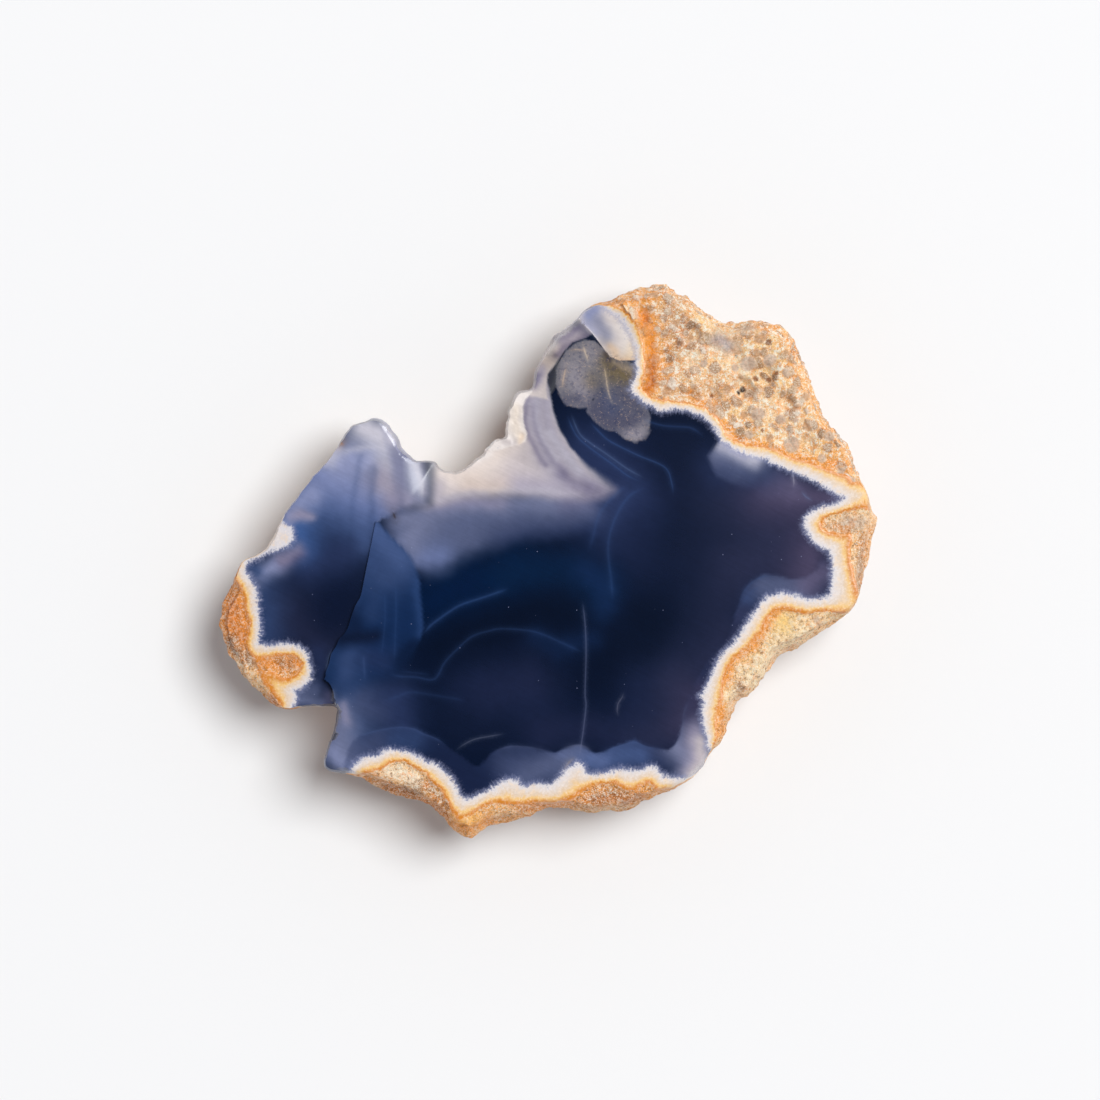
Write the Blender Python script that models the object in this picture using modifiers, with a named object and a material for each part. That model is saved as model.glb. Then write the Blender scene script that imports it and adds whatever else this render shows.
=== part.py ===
# Blue lace agate: one natural stone with a sawn, polished face, fused to its brown host rock.
# Metres, +Z up. It rests on a small flat spot under its belly, with the polished face on top.

import math

import bmesh
import bpy
import numpy as np
from mathutils import Vector, noise

# Driving dimensions.
STONE_WIDTH = 0.0898
FACE_HEIGHT = 0.0158
BLANK_HEIGHT = 0.020
GRID_SIZE = 0.00095
TRIANGLE_SHARE = 0.20

# Edges of the polished face: how far in and how steeply the skin rounds over.
SAW_ALLOWANCE = 0.0015
EDGE_INSET = 0.0005
EDGE_DROP = 1.25
WALL_BULGE = 0.0009

# Belly: a shallow bowl round the resting spot, with a rolled-up margin.
SPOT_CENTRE = (0.0055, -0.0025)
SPOT_RADII = (0.0200, 0.0165)
BELLY_RISE = 0.0011
MARGIN_RISE = 0.0036
MARGIN_WIDTH = 0.0075

# Breaks: the small lobe's ledge, and the hollow scars of struck flakes.
LEDGE_DEPTH = 0.0010
LEDGE_TILT = math.radians(-4.0)
CORNER_DEPTH = 0.0010
CORNER_TILT = math.radians(7.0)
ROCK_SINK = 0.0004

# Places on the stone are read from its picture, in pixels, and turned into metres by the stone's width.
PICTURE_LEFT = 222
PICTURE_RIGHT = 875
PICTURE_CENTRE = (548.5, 561.3)
PIXEL = STONE_WIDTH / (PICTURE_RIGHT - PICTURE_LEFT)

LOBE_TIP = [(365, 424), (374, 421), (384, 424), (394, 437), (402, 452), (412, 461), (421, 464)]
NECK_BAY = [
    (434, 465), (442, 472), (455, 475), (468, 469), (480, 460), (489, 450),
    (496, 443), (505, 437), (509, 422), (512, 408), (519, 396), (533, 390),
]
SHOULDER = [(536, 375), (543, 360), (550, 349), (556, 338), (572, 326), (590, 309)]
HOST_ROCK = [
    (610, 304), (630, 296), (650, 292), (664, 288), (672, 295), (690, 305), (708, 319),
    (730, 328), (751, 326), (775, 330), (790, 339), (796, 354), (807, 378), (816, 404), (823, 421),
]
RIGHT_END = [
    (838, 438), (848, 452), (854, 473), (864, 492), (870, 511), (875, 525), (868, 555),
    (861, 585), (853, 608), (838, 621), (818, 634), (797, 646), (777, 657),
]
LOWER_RIGHT = [
    (768, 670), (760, 681), (750, 695), (737, 703), (729, 722), (722, 741), (709, 754), (700, 770),
    (688, 781), (665, 793), (640, 804), (622, 812), (590, 815), (565, 809), (548, 809), (530, 814),
]
LOWER_RIM = [
    (514, 822), (492, 825), (480, 831), (466, 834.5), (451, 827), (441, 816),
    (424, 804), (403, 796), (384, 790), (365, 779), (347, 774), (327, 768),
]
NOTCH = [(329, 750), (335, 733), (338, 720), (335, 708)]
LOBE_LOWER = [
    (310, 707), (286, 709), (268, 699), (246, 682), (236, 664), (228, 650), (223, 627), (222, 612),
]
LOBE_OUTER = [
    (227, 600), (236, 580), (245, 563), (262, 555), (275, 538), (286, 515),
    (299, 499), (313, 480), (328, 463), (342, 444), (352, 430),
]
OUTLINE = (
    LOBE_TIP + NECK_BAY + SHOULDER + HOST_ROCK + RIGHT_END
    + LOWER_RIGHT + LOWER_RIM + NOTCH + LOBE_LOWER + LOBE_OUTER
)

# The ledge where the small lobe steps down from the main face, closed round the lobe.
LEDGE = [
    (376, 524), (370, 555), (364, 585), (356, 607), (349, 628), (340, 640), (332, 655),
    (327, 672), (325, 681), (334, 692), (336, 709), (336, 740), (180, 740), (180, 400), (440, 400),
    (432, 506), (404, 512),
]

# A shallow lower facet beside the host rock.
CORNER_FACET = [
    (581, 323), (590, 333), (597, 342), (605, 352), (614, 362), (638, 362),
    (643, 345), (635, 325), (625, 312), (612, 290), (570, 290),
]

# Where the blue stone ends and the host rock begins, closed outside the stone.
ROCK_AREA = [
    (600, 305), (625, 312), (635, 325), (643, 345), (645, 375), (641, 390), (650, 399), (665, 402),
    (690, 405), (705, 410), (718, 422), (725, 435), (745, 446), (760, 448), (782, 455), (805, 463),
    (830, 472), (856, 484), (920, 470), (860, 300), (700, 240), (590, 260),
]

# Stretches where the natural skin rounds over further: place, reach in pixels, extra inset.
ROUND_SPOTS = [
    ((400, 790), 45, 0.0020),
    ((505, 822), 45, 0.0026),
    ((610, 812), 45, 0.0022),
    ((690, 785), 30, 0.0010),
    ((770, 660), 60, 0.0010),
    ((868, 540), 40, 0.0018),
    ((225, 620), 55, 0.0026),
    ((275, 545), 30, 0.0012),
    ((290, 705), 30, 0.0010),
    ((548, 350), 36, 0.0022),
    ((690, 300), 60, 0.0016),
    ((800, 360), 60, 0.0018),
    ((345, 440), 25, 0.0010),
]

# Hollow scars: centre, scar radius in pixels at the face, and how flat the shell of the scar is.
NECK_SCAR = ((478, 404), 97, 1.15)
TIP_SCAR = ((432, 452), 50, 1.2)
SHOULDER_SCAR = ((520, 372), 40, 0.7)
# Pits worn in the host rock: place, reach in pixels, depth.
ROCK_PITS = [
    ((743, 391), 11, 0.0016),
    ((763, 378), 12, 0.0012),
    ((712, 399), 8, 0.0008),
    ((690, 335), 9, 0.0010),
    ((667, 362), 9, 0.0007),
    ((735, 358), 8, 0.0007),
    ((806, 448), 9, 0.0009),
    ((785, 405), 9, 0.0008),
    ((640, 318), 9, 0.0008),
]


def plan(pixels):
    x = (pixels[0] - PICTURE_CENTRE[0]) * PIXEL
    y = (PICTURE_CENTRE[1] - pixels[1]) * PIXEL
    return x, y


def plan_list(points):
    return [plan(point) for point in points]


def smooth_step(value, low, high):
    share = np.clip((value - low) / (high - low), 0.0, 1.0)
    return share * share * (3.0 - 2.0 * share)


# Distance from each place to a closed outline, positive inside it, and the way out of it.
def inside_distance(x, y, outline):
    corners = np.array(outline)
    ends = np.roll(corners, -1, axis=0)
    nearest = np.full(x.shape, np.inf)
    away = np.zeros(x.shape + (2,))
    inside = np.zeros(x.shape, dtype=bool)
    for (ax, ay), (bx, by) in zip(corners, ends):
        run = (bx - ax, by - ay)
        along = ((x - ax) * run[0] + (y - ay) * run[1]) / (run[0] ** 2 + run[1] ** 2)
        along = np.clip(along, 0.0, 1.0)
        gap_x = x - (ax + along * run[0])
        gap_y = y - (ay + along * run[1])
        gap = np.hypot(gap_x, gap_y)
        closer = gap < nearest
        nearest = np.where(closer, gap, nearest)
        away[closer, 0] = gap_x[closer]
        away[closer, 1] = gap_y[closer]
        if ay != by:
            crosses = ((ay > y) != (by > y)) & (x < (bx - ax) * (y - ay) / (by - ay) + ax)
            inside ^= crosses
    sign = np.where(inside, 1.0, -1.0)
    length = np.maximum(np.hypot(away[..., 0], away[..., 1]), 1e-9)
    outward = -away * (sign / length)[..., None]
    return nearest * sign, outward


def grain(points, size, seed):
    shift = Vector((seed * 7.3, seed * 3.1, seed * 5.7))
    return np.array([noise.noise(Vector(point) / size + shift) for point in points])


# How far in from the outline the skin starts to round over, at each place.
def edge_inset(x, y):
    inset = np.full(x.shape, EDGE_INSET)
    for place, reach, extra in ROUND_SPOTS:
        spot_x, spot_y = plan(place)
        gap = np.hypot(x - spot_x, y - spot_y) / (reach * PIXEL)
        inset += extra * np.exp(-gap * gap)
    return inset


def pit_depth(x, y):
    depth = np.zeros(x.shape)
    for place, reach, deep in ROCK_PITS:
        pit_x, pit_y = plan(place)
        gap = np.hypot(x - pit_x, y - pit_y) / (reach * PIXEL)
        depth = np.maximum(depth, deep * np.exp(-gap ** 4))
    return depth


# The rough stone's upper skin before the saw: proud of the face inside, rounded at the edge.
def upper_skin(x, y, depth, rock, lumps):
    inset = edge_inset(x, y)
    inward = np.clip(depth / inset, 0.0, 1.0)
    rounded = EDGE_DROP * inset * (1.0 - np.sqrt(1.0 - (1.0 - inward) ** 2))
    proud = SAW_ALLOWANCE * np.clip(depth / inset - 1.0, 0.0, 1.0)
    skin = FACE_HEIGHT + proud - rounded + 0.00035 * lumps * (1.0 - inward * 0.5)
    rock_skin = FACE_HEIGHT - ROCK_SINK - rounded + 0.00055 * lumps - pit_depth(x, y)
    return skin * (1.0 - rock) + rock_skin * rock


# The natural belly: a shallow bowl round the resting spot, thinner beside the neck.
def lower_skin(x, y, depth, lumps):
    reach = ((x - SPOT_CENTRE[0]) / SPOT_RADII[0]) ** 2 + ((y - SPOT_CENTRE[1]) / SPOT_RADII[1]) ** 2
    bowl = BELLY_RISE * (reach - 1.0)
    margin = MARGIN_RISE * np.clip(1.0 - depth / MARGIN_WIDTH, 0.0, 1.0) ** 2
    neck_x, neck_y = plan((468, 462))
    neck = 0.0036 * np.exp(-(((x - neck_x) ** 2 + (y - neck_y) ** 2) / (2 * 0.0075 ** 2)))
    rough = 0.0007 * lumps * smooth_step(reach, 0.7, 1.3)
    return bowl + margin + neck + rough


def collection_named(name):
    group = bpy.data.collections.new(name)
    bpy.context.scene.collection.children.link(group)
    return group


def move_to(group, piece):
    for old in list(piece.users_collection):
        old.objects.unlink(piece)
    group.objects.link(piece)


# A flat outline raised to a slab, as a mesh whose caps are welded to its wall.
def slab(name, outline, low, high, group):
    drawing = bpy.data.curves.new(name, "CURVE")
    drawing.dimensions = "2D"
    drawing.fill_mode = "BOTH"
    drawing.extrude = (high - low) / 2
    spline = drawing.splines.new("POLY")
    spline.points.add(len(outline) - 1)
    for point, (x, y) in zip(spline.points, outline):
        point.co = (x, y, 0.0, 1.0)
    spline.use_cyclic_u = True
    raised = bpy.data.objects.new(name + "_drawing", drawing)
    group.objects.link(raised)
    bpy.context.view_layer.update()
    mesh = bpy.data.meshes.new_from_object(raised.evaluated_get(bpy.context.evaluated_depsgraph_get()))
    mesh.name = name
    bpy.data.objects.remove(raised)
    soft = bmesh.new()
    soft.from_mesh(mesh)
    bmesh.ops.remove_doubles(soft, verts=soft.verts, dist=0.00001)
    bmesh.ops.recalc_face_normals(soft, faces=soft.faces)
    soft.to_mesh(mesh)
    soft.free()
    piece = bpy.data.objects.new(name, mesh)
    group.objects.link(piece)
    piece.location.z = (low + high) / 2
    return piece


def as_cutter(piece, name, group):
    piece.name = name
    piece.hide_render = True
    piece.display_type = "WIRE"
    move_to(group, piece)
    return piece


def cutting_box(name, low, high, group):
    bpy.ops.mesh.primitive_cube_add(size=1.0)
    box = bpy.context.active_object
    box.location = (Vector(low) + Vector(high)) / 2
    box.scale = Vector(high) - Vector(low)
    return as_cutter(box, name, group)


# A ball that leaves a shell-shaped scar of the given radius where it meets the face.
def scar_ball(name, scar, face, group):
    place, pixels, flatness = scar
    radius = pixels * PIXEL
    centre = plan(place)
    bpy.ops.mesh.primitive_uv_sphere_add(
        segments=48,
        ring_count=24,
        radius=radius * math.hypot(1.0, flatness),
        location=(centre[0], centre[1], face + radius * flatness),
    )
    return as_cutter(bpy.context.active_object, name, group)


# A slab cutter with a sloping floor; the slope turns about the given place.
def sloping_cutter(name, outline, pivot, floor, tilt, group):
    pivot_x, pivot_y = plan(pivot)
    shifted = [(x - pivot_x, y - pivot_y) for x, y in plan_list(outline)]
    cutter = slab(name, shifted, 0.0, BLANK_HEIGHT, group)
    for vertex in cutter.data.vertices:
        vertex.co.z += BLANK_HEIGHT / 2
    cutter.location = (pivot_x, pivot_y, floor)
    cutter.rotation_euler = (0.0, tilt, 0.0)
    return as_cutter(cutter, name, group)


def cut(piece, cutter):
    modifier = piece.modifiers.new(cutter.name, "BOOLEAN")
    modifier.operation = "DIFFERENCE"
    modifier.solver = "EXACT"
    modifier.object = cutter


# The blank is gridded finely, then its skin is drawn up, down and out to the natural form.
def rough_stone(name, group):
    outline = plan_list(OUTLINE)
    blank = slab("blank", outline, 0.0, BLANK_HEIGHT, group)
    gridding = blank.modifiers.new("gridding", "REMESH")
    gridding.mode = "VOXEL"
    gridding.voxel_size = GRID_SIZE
    bpy.context.view_layer.update()
    mesh = bpy.data.meshes.new_from_object(blank.evaluated_get(bpy.context.evaluated_depsgraph_get()))
    mesh.transform(blank.matrix_world)
    bpy.data.objects.remove(blank)
    mesh.name = name

    points = np.array([vertex.co[:] for vertex in mesh.vertices])
    x, y, z = points.T
    level = np.clip(z / BLANK_HEIGHT, 0.0, 1.0)
    depth, outward = inside_distance(x, y, outline)
    rock = smooth_step(inside_distance(x, y, plan_list(ROCK_AREA))[0], -0.0004, 0.0012)
    lumps = grain(points, 0.0060, 1) + 0.45 * grain(points, 0.0028, 2)

    near_edge = np.exp(-np.maximum(depth, 0.0) / 0.0014)
    bulge = WALL_BULGE * (np.sin(math.pi * level) - 0.75) + (0.0003 + 0.0004 * rock) * lumps
    moved_x = x + outward[:, 0] * bulge * near_edge
    moved_y = y + outward[:, 1] * bulge * near_edge
    top = upper_skin(x, y, np.maximum(depth, 0.0), rock, lumps)
    bottom = lower_skin(x, y, np.maximum(depth, 0.0), lumps)
    moved_z = bottom + (top - bottom) * level
    mesh.vertices.foreach_set("co", np.column_stack([moved_x, moved_y, moved_z]).ravel())
    mesh.update()

    stone = bpy.data.objects.new(name, mesh)
    group.objects.link(stone)
    thinning = stone.modifiers.new("thinning", "DECIMATE")
    thinning.ratio = TRIANGLE_SHARE
    return stone


def stone_material():
    material = bpy.data.materials.new("blue_chalcedony")
    material.use_nodes = True
    shader = material.node_tree.nodes["Principled BSDF"]
    shader.inputs["Base Color"].default_value = (0.035, 0.060, 0.150, 1.0)
    shader.inputs["Roughness"].default_value = 0.15
    shader.inputs["Metallic"].default_value = 0.0
    return material


def make_cutters(group):
    wide = STONE_WIDTH
    cutters = [
        cutting_box("saw_cut", (-wide, -wide, FACE_HEIGHT), (wide, wide, 2 * BLANK_HEIGHT), group),
        cutting_box("resting_cut", (-wide, -wide, -BLANK_HEIGHT), (wide, wide, 0.0), group),
        sloping_cutter(
            "ledge_cut", LEDGE, (362, 590), FACE_HEIGHT - LEDGE_DEPTH, LEDGE_TILT, group
        ),
        sloping_cutter(
            "corner_cut", CORNER_FACET, (620, 340), FACE_HEIGHT - CORNER_DEPTH, -CORNER_TILT, group
        ),
        scar_ball("neck_scar", NECK_SCAR, FACE_HEIGHT, group),
        scar_ball("tip_scar", TIP_SCAR, FACE_HEIGHT - LEDGE_DEPTH, group),
        scar_ball("shoulder_scar", SHOULDER_SCAR, FACE_HEIGHT, group),
    ]
    return cutters


# The finished stone's box is centred on the origin, with the resting spot at height zero.
def centre_on_origin(stone, pieces):
    bpy.context.view_layer.update()
    seen = stone.evaluated_get(bpy.context.evaluated_depsgraph_get())
    corners = np.array([vertex.co[:] for vertex in seen.data.vertices])
    middle = (corners.min(axis=0) + corners.max(axis=0)) / 2
    holder = bpy.data.objects.new("stone_origin", None)
    bpy.context.scene.collection.objects.link(holder)
    for piece in pieces:
        piece.parent = holder
    holder.location = (-middle[0], -middle[1], 0.0)


def main():
    for old in list(bpy.data.objects):
        bpy.data.objects.remove(old, do_unlink=True)
    stones = collection_named("blue_lace_agate")
    tools = collection_named("cutters")
    stone = rough_stone("blue_agate", stones)
    stone.data.materials.append(stone_material())
    cutters = make_cutters(tools)
    for cutter in cutters:
        cut(stone, cutter)
    centre_on_origin(stone, [stone] + cutters)


main()
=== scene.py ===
import math

import bmesh
import bpy
import numpy as np
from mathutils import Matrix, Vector, kdtree, noise
from mathutils.geometry import delaunay_2d_cdt


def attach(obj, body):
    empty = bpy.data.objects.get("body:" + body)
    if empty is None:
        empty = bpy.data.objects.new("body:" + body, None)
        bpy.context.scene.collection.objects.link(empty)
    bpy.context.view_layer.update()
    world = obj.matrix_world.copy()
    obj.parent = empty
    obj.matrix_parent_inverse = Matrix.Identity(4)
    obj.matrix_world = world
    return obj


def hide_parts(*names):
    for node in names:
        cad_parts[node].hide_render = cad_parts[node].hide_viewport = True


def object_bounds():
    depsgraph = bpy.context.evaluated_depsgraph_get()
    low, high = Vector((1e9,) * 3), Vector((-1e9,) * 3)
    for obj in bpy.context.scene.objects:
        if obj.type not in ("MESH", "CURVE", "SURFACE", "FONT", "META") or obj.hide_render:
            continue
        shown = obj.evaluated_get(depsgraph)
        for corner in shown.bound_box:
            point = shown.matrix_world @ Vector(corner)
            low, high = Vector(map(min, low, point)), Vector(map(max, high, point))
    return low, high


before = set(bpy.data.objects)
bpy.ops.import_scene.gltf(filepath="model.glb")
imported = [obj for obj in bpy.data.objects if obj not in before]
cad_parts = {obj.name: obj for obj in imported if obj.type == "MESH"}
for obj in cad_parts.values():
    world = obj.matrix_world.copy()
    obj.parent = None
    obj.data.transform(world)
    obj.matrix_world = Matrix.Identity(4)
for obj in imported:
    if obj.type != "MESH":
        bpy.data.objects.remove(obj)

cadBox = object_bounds()

# Places on the stone are read from its picture, in pixels of a 1100 by 1100 frame.
picture = {
    "left": 222,             # the stone's left edge
    "right": 875,            # the stone's right edge
    "centre": (548.5, 561.3),
    "stoneWidth": 0.0898,    # metres between those edges
    "frame": 1100,
}
pixel = picture["stoneWidth"] / (picture["right"] - picture["left"])
mm = 0.001


def place(spot):
    x = (spot[0] - picture["centre"][0]) * pixel
    y = (picture["centre"][1] - spot[1]) * pixel
    return x, y


def places(spots):
    return [place(spot) for spot in spots]


def columnPlace(column):
    return place((column, 0))[0]


def onPicture(x, y):
    return x / pixel + picture["centre"][0], picture["centre"][1] - y / pixel


def smoothStep(value, low, high):
    share = np.clip((value - low) / (high - low), 0.0, 1.0)
    return share * share * (3.0 - 2.0 * share)


# The studio: a pale table, a camera straight above, and soft light from the upper right.
studio = {
    "tableColour": (0.80, 0.80, 0.80),
    "tableSize": 8.0,
    "tableDrop": 0.02 * mm,          # below the stone, so that the two do not touch
    "tableRoughness": 0.9,
    "tableGloss": 0.1,
    "cameraHeight": 0.80,
    "sharpLevel": 0.012,             # the height at which a pixel has its true size
    "aim": (550, 550),
    "sensor": 36.0,
    "softLight": {
        "turn": 31, "rise": 64, "power": 255, "size": 2.9, "away": 5.0, "colour": (0.985, 1.0, 1.0),
    },
    # The sky at the horizon, overhead and midway: height, colour.
    "sky": [(0.0, (0.76, 0.74, 0.78)), (0.93, (0.03, 0.03, 0.03)), (0.6, (0.51, 0.495, 0.52))],
    "lit": 1.17,                     # how much lighter than painted the blue comes out
    "sheen": 0.002,                  # the gloss that lies over every colour
}


# A colour as it looks on the screen, turned into the paint that looks so under the studio's light.
def paint(colour, lit=studio["lit"]):
    shares = np.array(colour, dtype=float) / 255.0
    linear = np.where(shares <= 0.04045, shares / 12.92, ((shares + 0.055) / 1.055) ** 2.4)
    return np.clip((linear - studio["sheen"]) / lit, 0.0, 1.0)


def directionTo(turn, rise):
    turn = math.radians(turn)
    rise = math.radians(rise)
    return Vector((math.cos(turn) * math.cos(rise), math.sin(turn) * math.cos(rise), math.sin(rise)))


def addLight(name, settings):
    lamp = bpy.data.lights.new(name, "AREA")
    lamp.shape = "DISK"
    lamp.size = settings["size"]
    lamp.energy = settings["power"]
    lamp.color = settings["colour"]
    towards = directionTo(settings["turn"], settings["rise"])
    lampObject = bpy.data.objects.new(name, lamp)
    lampObject.location = towards * settings["away"]
    lampObject.rotation_euler = towards.to_track_quat("Z", "Y").to_euler()
    bpy.context.scene.collection.objects.link(lampObject)


# Sets a colour ramp's stops; the first two use the stops that a new ramp has.
def setStops(ramp, stops):
    for index, (position, colour) in enumerate(stops):
        element = ramp.elements[index] if index < 2 else ramp.elements.new(position)
        element.position = position
        element.color = (*colour, 1.0)


def addSky():
    sky = bpy.data.worlds.new("studio_sky")
    sky.use_nodes = True
    nodes, links = sky.node_tree.nodes, sky.node_tree.links
    where = nodes.new("ShaderNodeTexCoord")
    split = nodes.new("ShaderNodeSeparateXYZ")
    blend = nodes.new("ShaderNodeValToRGB")
    setStops(blend.color_ramp, studio["sky"])
    links.new(where.outputs["Generated"], split.inputs[0])
    links.new(split.outputs["Z"], blend.inputs["Fac"])
    links.new(blend.outputs["Color"], nodes["Background"].inputs["Color"])
    bpy.context.scene.world = sky


def setUpStudio():
    bpy.ops.mesh.primitive_plane_add(size=studio["tableSize"], location=(0.0, 0.0, -studio["tableDrop"]))
    table = bpy.context.active_object
    table.name = "pale_table"
    finish = bpy.data.materials.new("pale_table")
    finish.use_nodes = True
    shader = finish.node_tree.nodes["Principled BSDF"]
    shader.inputs["Base Color"].default_value = (*studio["tableColour"], 1.0)
    shader.inputs["Roughness"].default_value = studio["tableRoughness"]
    shader.inputs["Specular IOR Level"].default_value = studio["tableGloss"]
    table.data.materials.append(finish)

    lens = bpy.data.cameras.new("overhead_camera")
    lens.sensor_width = studio["sensor"]
    span = picture["frame"] * pixel
    lens.lens = studio["sensor"] * (studio["cameraHeight"] - studio["sharpLevel"]) / span
    lens.clip_start = 0.05
    overhead = bpy.data.objects.new("overhead_camera", lens)
    overhead.location = (*place(studio["aim"]), studio["cameraHeight"])
    bpy.context.scene.collection.objects.link(overhead)
    bpy.context.scene.camera = overhead

    addLight("soft_light", studio["softLight"])
    addSky()
    bpy.context.scene.view_settings.view_transform = "Standard"
    print("studio: table, camera and lights are set")


setUpStudio()

# The stone: its form as in its solid, then its finish.
stoneForm = {
    "faceHeight": 15.8 * mm,
    "blankHeight": 20.0 * mm,
    "sawAllowance": 1.5 * mm,
    "edgeInset": 0.2 * mm,
    "edgeDrop": 1.25,
    "wallBulge": 0.9 * mm,           # of the rind; the blue breaks almost upright
    "blueBulge": 0.25,
    "wallReach": 1.4 * mm,
    "spotCentre": (5.5 * mm, -2.5 * mm),
    "spotRadii": (20.0 * mm, 16.5 * mm),
    "bellyRise": 1.1 * mm,
    "marginRise": 3.6 * mm,
    "marginWidth": 7.5 * mm,
    "neckThin": ((468, 462), 3.6 * mm, 7.5 * mm),
    "lobeHinge": 404,                # the small lobe slopes down to the left of here
    "lobeTilt": math.radians(4.9),
    "cornerPivot": 620,
    "cornerDepth": 1.0 * mm,
    "cornerTilt": math.radians(7.0),
    "neckSlope": 0.60,               # how steeply the neck's scar falls from its long edge
    "ribSlope": 0.24,                # and from its ribbed right side
    "neckSoftness": 2.6 * mm,        # over which the scar's edges round off
    "ribSoftness": 0.4,              # the ribbed side's share of that
    "neckBlend": 0.30 * mm,
    "neckStart": (392, 462),         # the scar deepens from nothing between these columns
    "cornerFade": (646, 612),        # and the corner's facet between these
    "shoulderScar": ((520, 372), 40, 0.7),
    "rockSink": 0.35 * mm,
    "skinLumps": 0.35 * mm,          # how far low lumps raise the skin, the host rock and the belly
    "rockLumps": 0.55 * mm,
    "bellyLumps": 0.7 * mm,
    "wallLumps": (0.2 * mm, 0.5 * mm),          # and the walls: everywhere, and as much more on rock
    "wallRoughness": (0.04 * mm, 0.20 * mm),
    "raggedness": (0.14 * mm, 0.22 * mm),       # of the outline, and as much more at its crumbly edge
    "grainSize": 1.65 * mm,
    "grainRadius": 0.27,             # of the smallest grains, as a share of that
    "grainRise": 0.22 * mm,
    "rockRoughness": 0.22 * mm,
    "crustRoughness": 0.16 * mm,
    "bellyRoughness": 0.16 * mm,
    "crumblyEdge": ((508, 425), 35),
    "rockBorder": (-0.4 * mm, 1.2 * mm),    # host rock takes over from its rim between these depths
    "fineSpacing": 0.22 * mm,        # of the mesh on rock, rims and breaks; the plain face has twice this
    "bellySpacing": 0.62 * mm,
    "edgeSpacing": 0.30 * mm,
    "lineSpacing": 0.3 * mm,
    "gridMargin": 0.5 * mm,          # how far the mesh's even places and its break lines stay inside
    "lineMargin": 1.2 * mm,
    "edgeZone": 1.6 * mm,            # where the gap to the edge itself is measured
    "edgeClear": 0.6,                # least gaps to edge and lines, as shares of the mesh's spacing
    "lineClear": 0.45,
    "breakGap": 0.05 * mm,           # from a break to the line of mesh on each side of it
    "wallRows": 16,
    "sharpAngle": math.radians(38),
    "rockLit": 0.90,                 # how much lighter than painted the host rock comes out
    "rindLevel": 0.30,               # up to this share of its height the blue's wall is rind
    "rindSteepness": 9.0,            # how suddenly the rind takes over there
    "wallBlur": 14,                  # places on each side over which the wall's colours run together
    "wallPolish": 0.35,              # the sawn face has 1
    "spineLength": 1.1,              # of the rim's fine spines, about half of this in millimetres
    "spineCloseness": (3.4, 0.8),    # along the border and across it
    "rimGlow": 0.50,                 # how far the rim's white clouds the blue beside it
    "rimColours": [                  # from the blue out to the host rock
        (0.0, "salt"), (1.0, "amber"), (0.28, "shell"), (0.50, "oat"), (0.68, "straw"), (0.86, "honey"),
    ],
    "grainColours": [(0.0, "grit"), (1.0, "flour"), (0.3, "tan"), (0.55, "dove"), (0.8, "quartz")],
    "paleShare": 0.85,               # of the host rock's pale matrix, stain, crevices and grains
    "rindPale": 0.44,                # the same pale matrix on the thin rinds
    "rindShade": 0.07,               # how much more of the rinds is dark crevice
    "stainShare": 0.55,
    "creviceGritAndShade": 0.75,
    "grainShare": 0.80,
    "polishSheen": (math.radians(-26), (4.0, 0.30, 1.0)),    # the polish's turn and stretch
    "bumpDepth": 0.26 * mm,
}

# The outline, from the small lobe's tip by the neck bay, the host rock and the right end to the lower
# rim, the notch and the lobe's outer side.
lobeTip = [(365, 424), (374, 421), (384, 424), (394, 437), (402, 452), (412, 461), (421, 464)]
neckBay = [
    (434, 465), (442, 472), (455, 475), (468, 469), (480, 460), (489, 450), (496, 443), (505, 437),
    (509, 422), (512, 408), (519, 396), (533, 390),
]
shoulder = [(536, 375), (543, 360), (550, 349), (556, 338), (572, 326), (590, 309)]
hostRockEdge = [
    (610, 304), (630, 296), (650, 292), (664, 288), (672, 295), (690, 305), (708, 319), (730, 328),
    (751, 326), (775, 330), (790, 339), (796, 354), (807, 378), (816, 404), (823, 421),
]
rightEnd = [
    (838, 438), (848, 452), (854, 473), (864, 492), (870, 511), (875, 525), (868, 555), (861, 585),
    (853, 608), (838, 621), (818, 634), (797, 646), (777, 657),
]
lowerRight = [
    (768, 670), (760, 681), (750, 695), (737, 703), (729, 722), (722, 741), (709, 754), (700, 770),
    (688, 781), (665, 793), (640, 804), (622, 812), (590, 815), (565, 809), (548, 809), (530, 814),
]
lowerRim = [
    (514, 822), (492, 825), (480, 831), (466, 834.5), (451, 827), (441, 816), (424, 804), (403, 796),
    (384, 790), (365, 779), (347, 774), (327, 768),
]
notch = [(329, 750), (335, 733), (338, 720), (335, 708)]
lobeLower = [(310, 707), (286, 709), (268, 699), (246, 682), (236, 664), (228, 650), (223, 627), (222, 612)]
lobeOuter = [
    (227, 600), (236, 580), (245, 563), (262, 555), (275, 538), (286, 515), (299, 499), (313, 480),
    (328, 463), (342, 444), (352, 430),
]
stoneOutline = (
    lobeTip + neckBay + shoulder + hostRockEdge + rightEnd
    + lowerRight + lowerRim + notch + lobeLower + lobeOuter
)
ledgeLine = [
    (376, 524), (373, 540), (370, 555), (367, 570), (364, 585), (361, 598), (356, 607), (352, 618),
    (349, 628), (345, 635), (340, 640), (337, 647), (332, 655), (330, 664), (327, 672), (325, 681),
    (330, 684), (334, 692), (335, 700), (336, 712),
]
lobeArea = ledgeLine + [(336, 740), (180, 740), (180, 400), (440, 400), (432, 506), (404, 512)]
cornerLine = [
    (578, 318), (581, 323), (586, 329), (590, 333), (597, 342), (603, 350), (610, 359), (620, 363),
]
cornerFacet = cornerLine + [(638, 362), (643, 345), (635, 325), (625, 312), (612, 290), (570, 290)]

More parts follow.
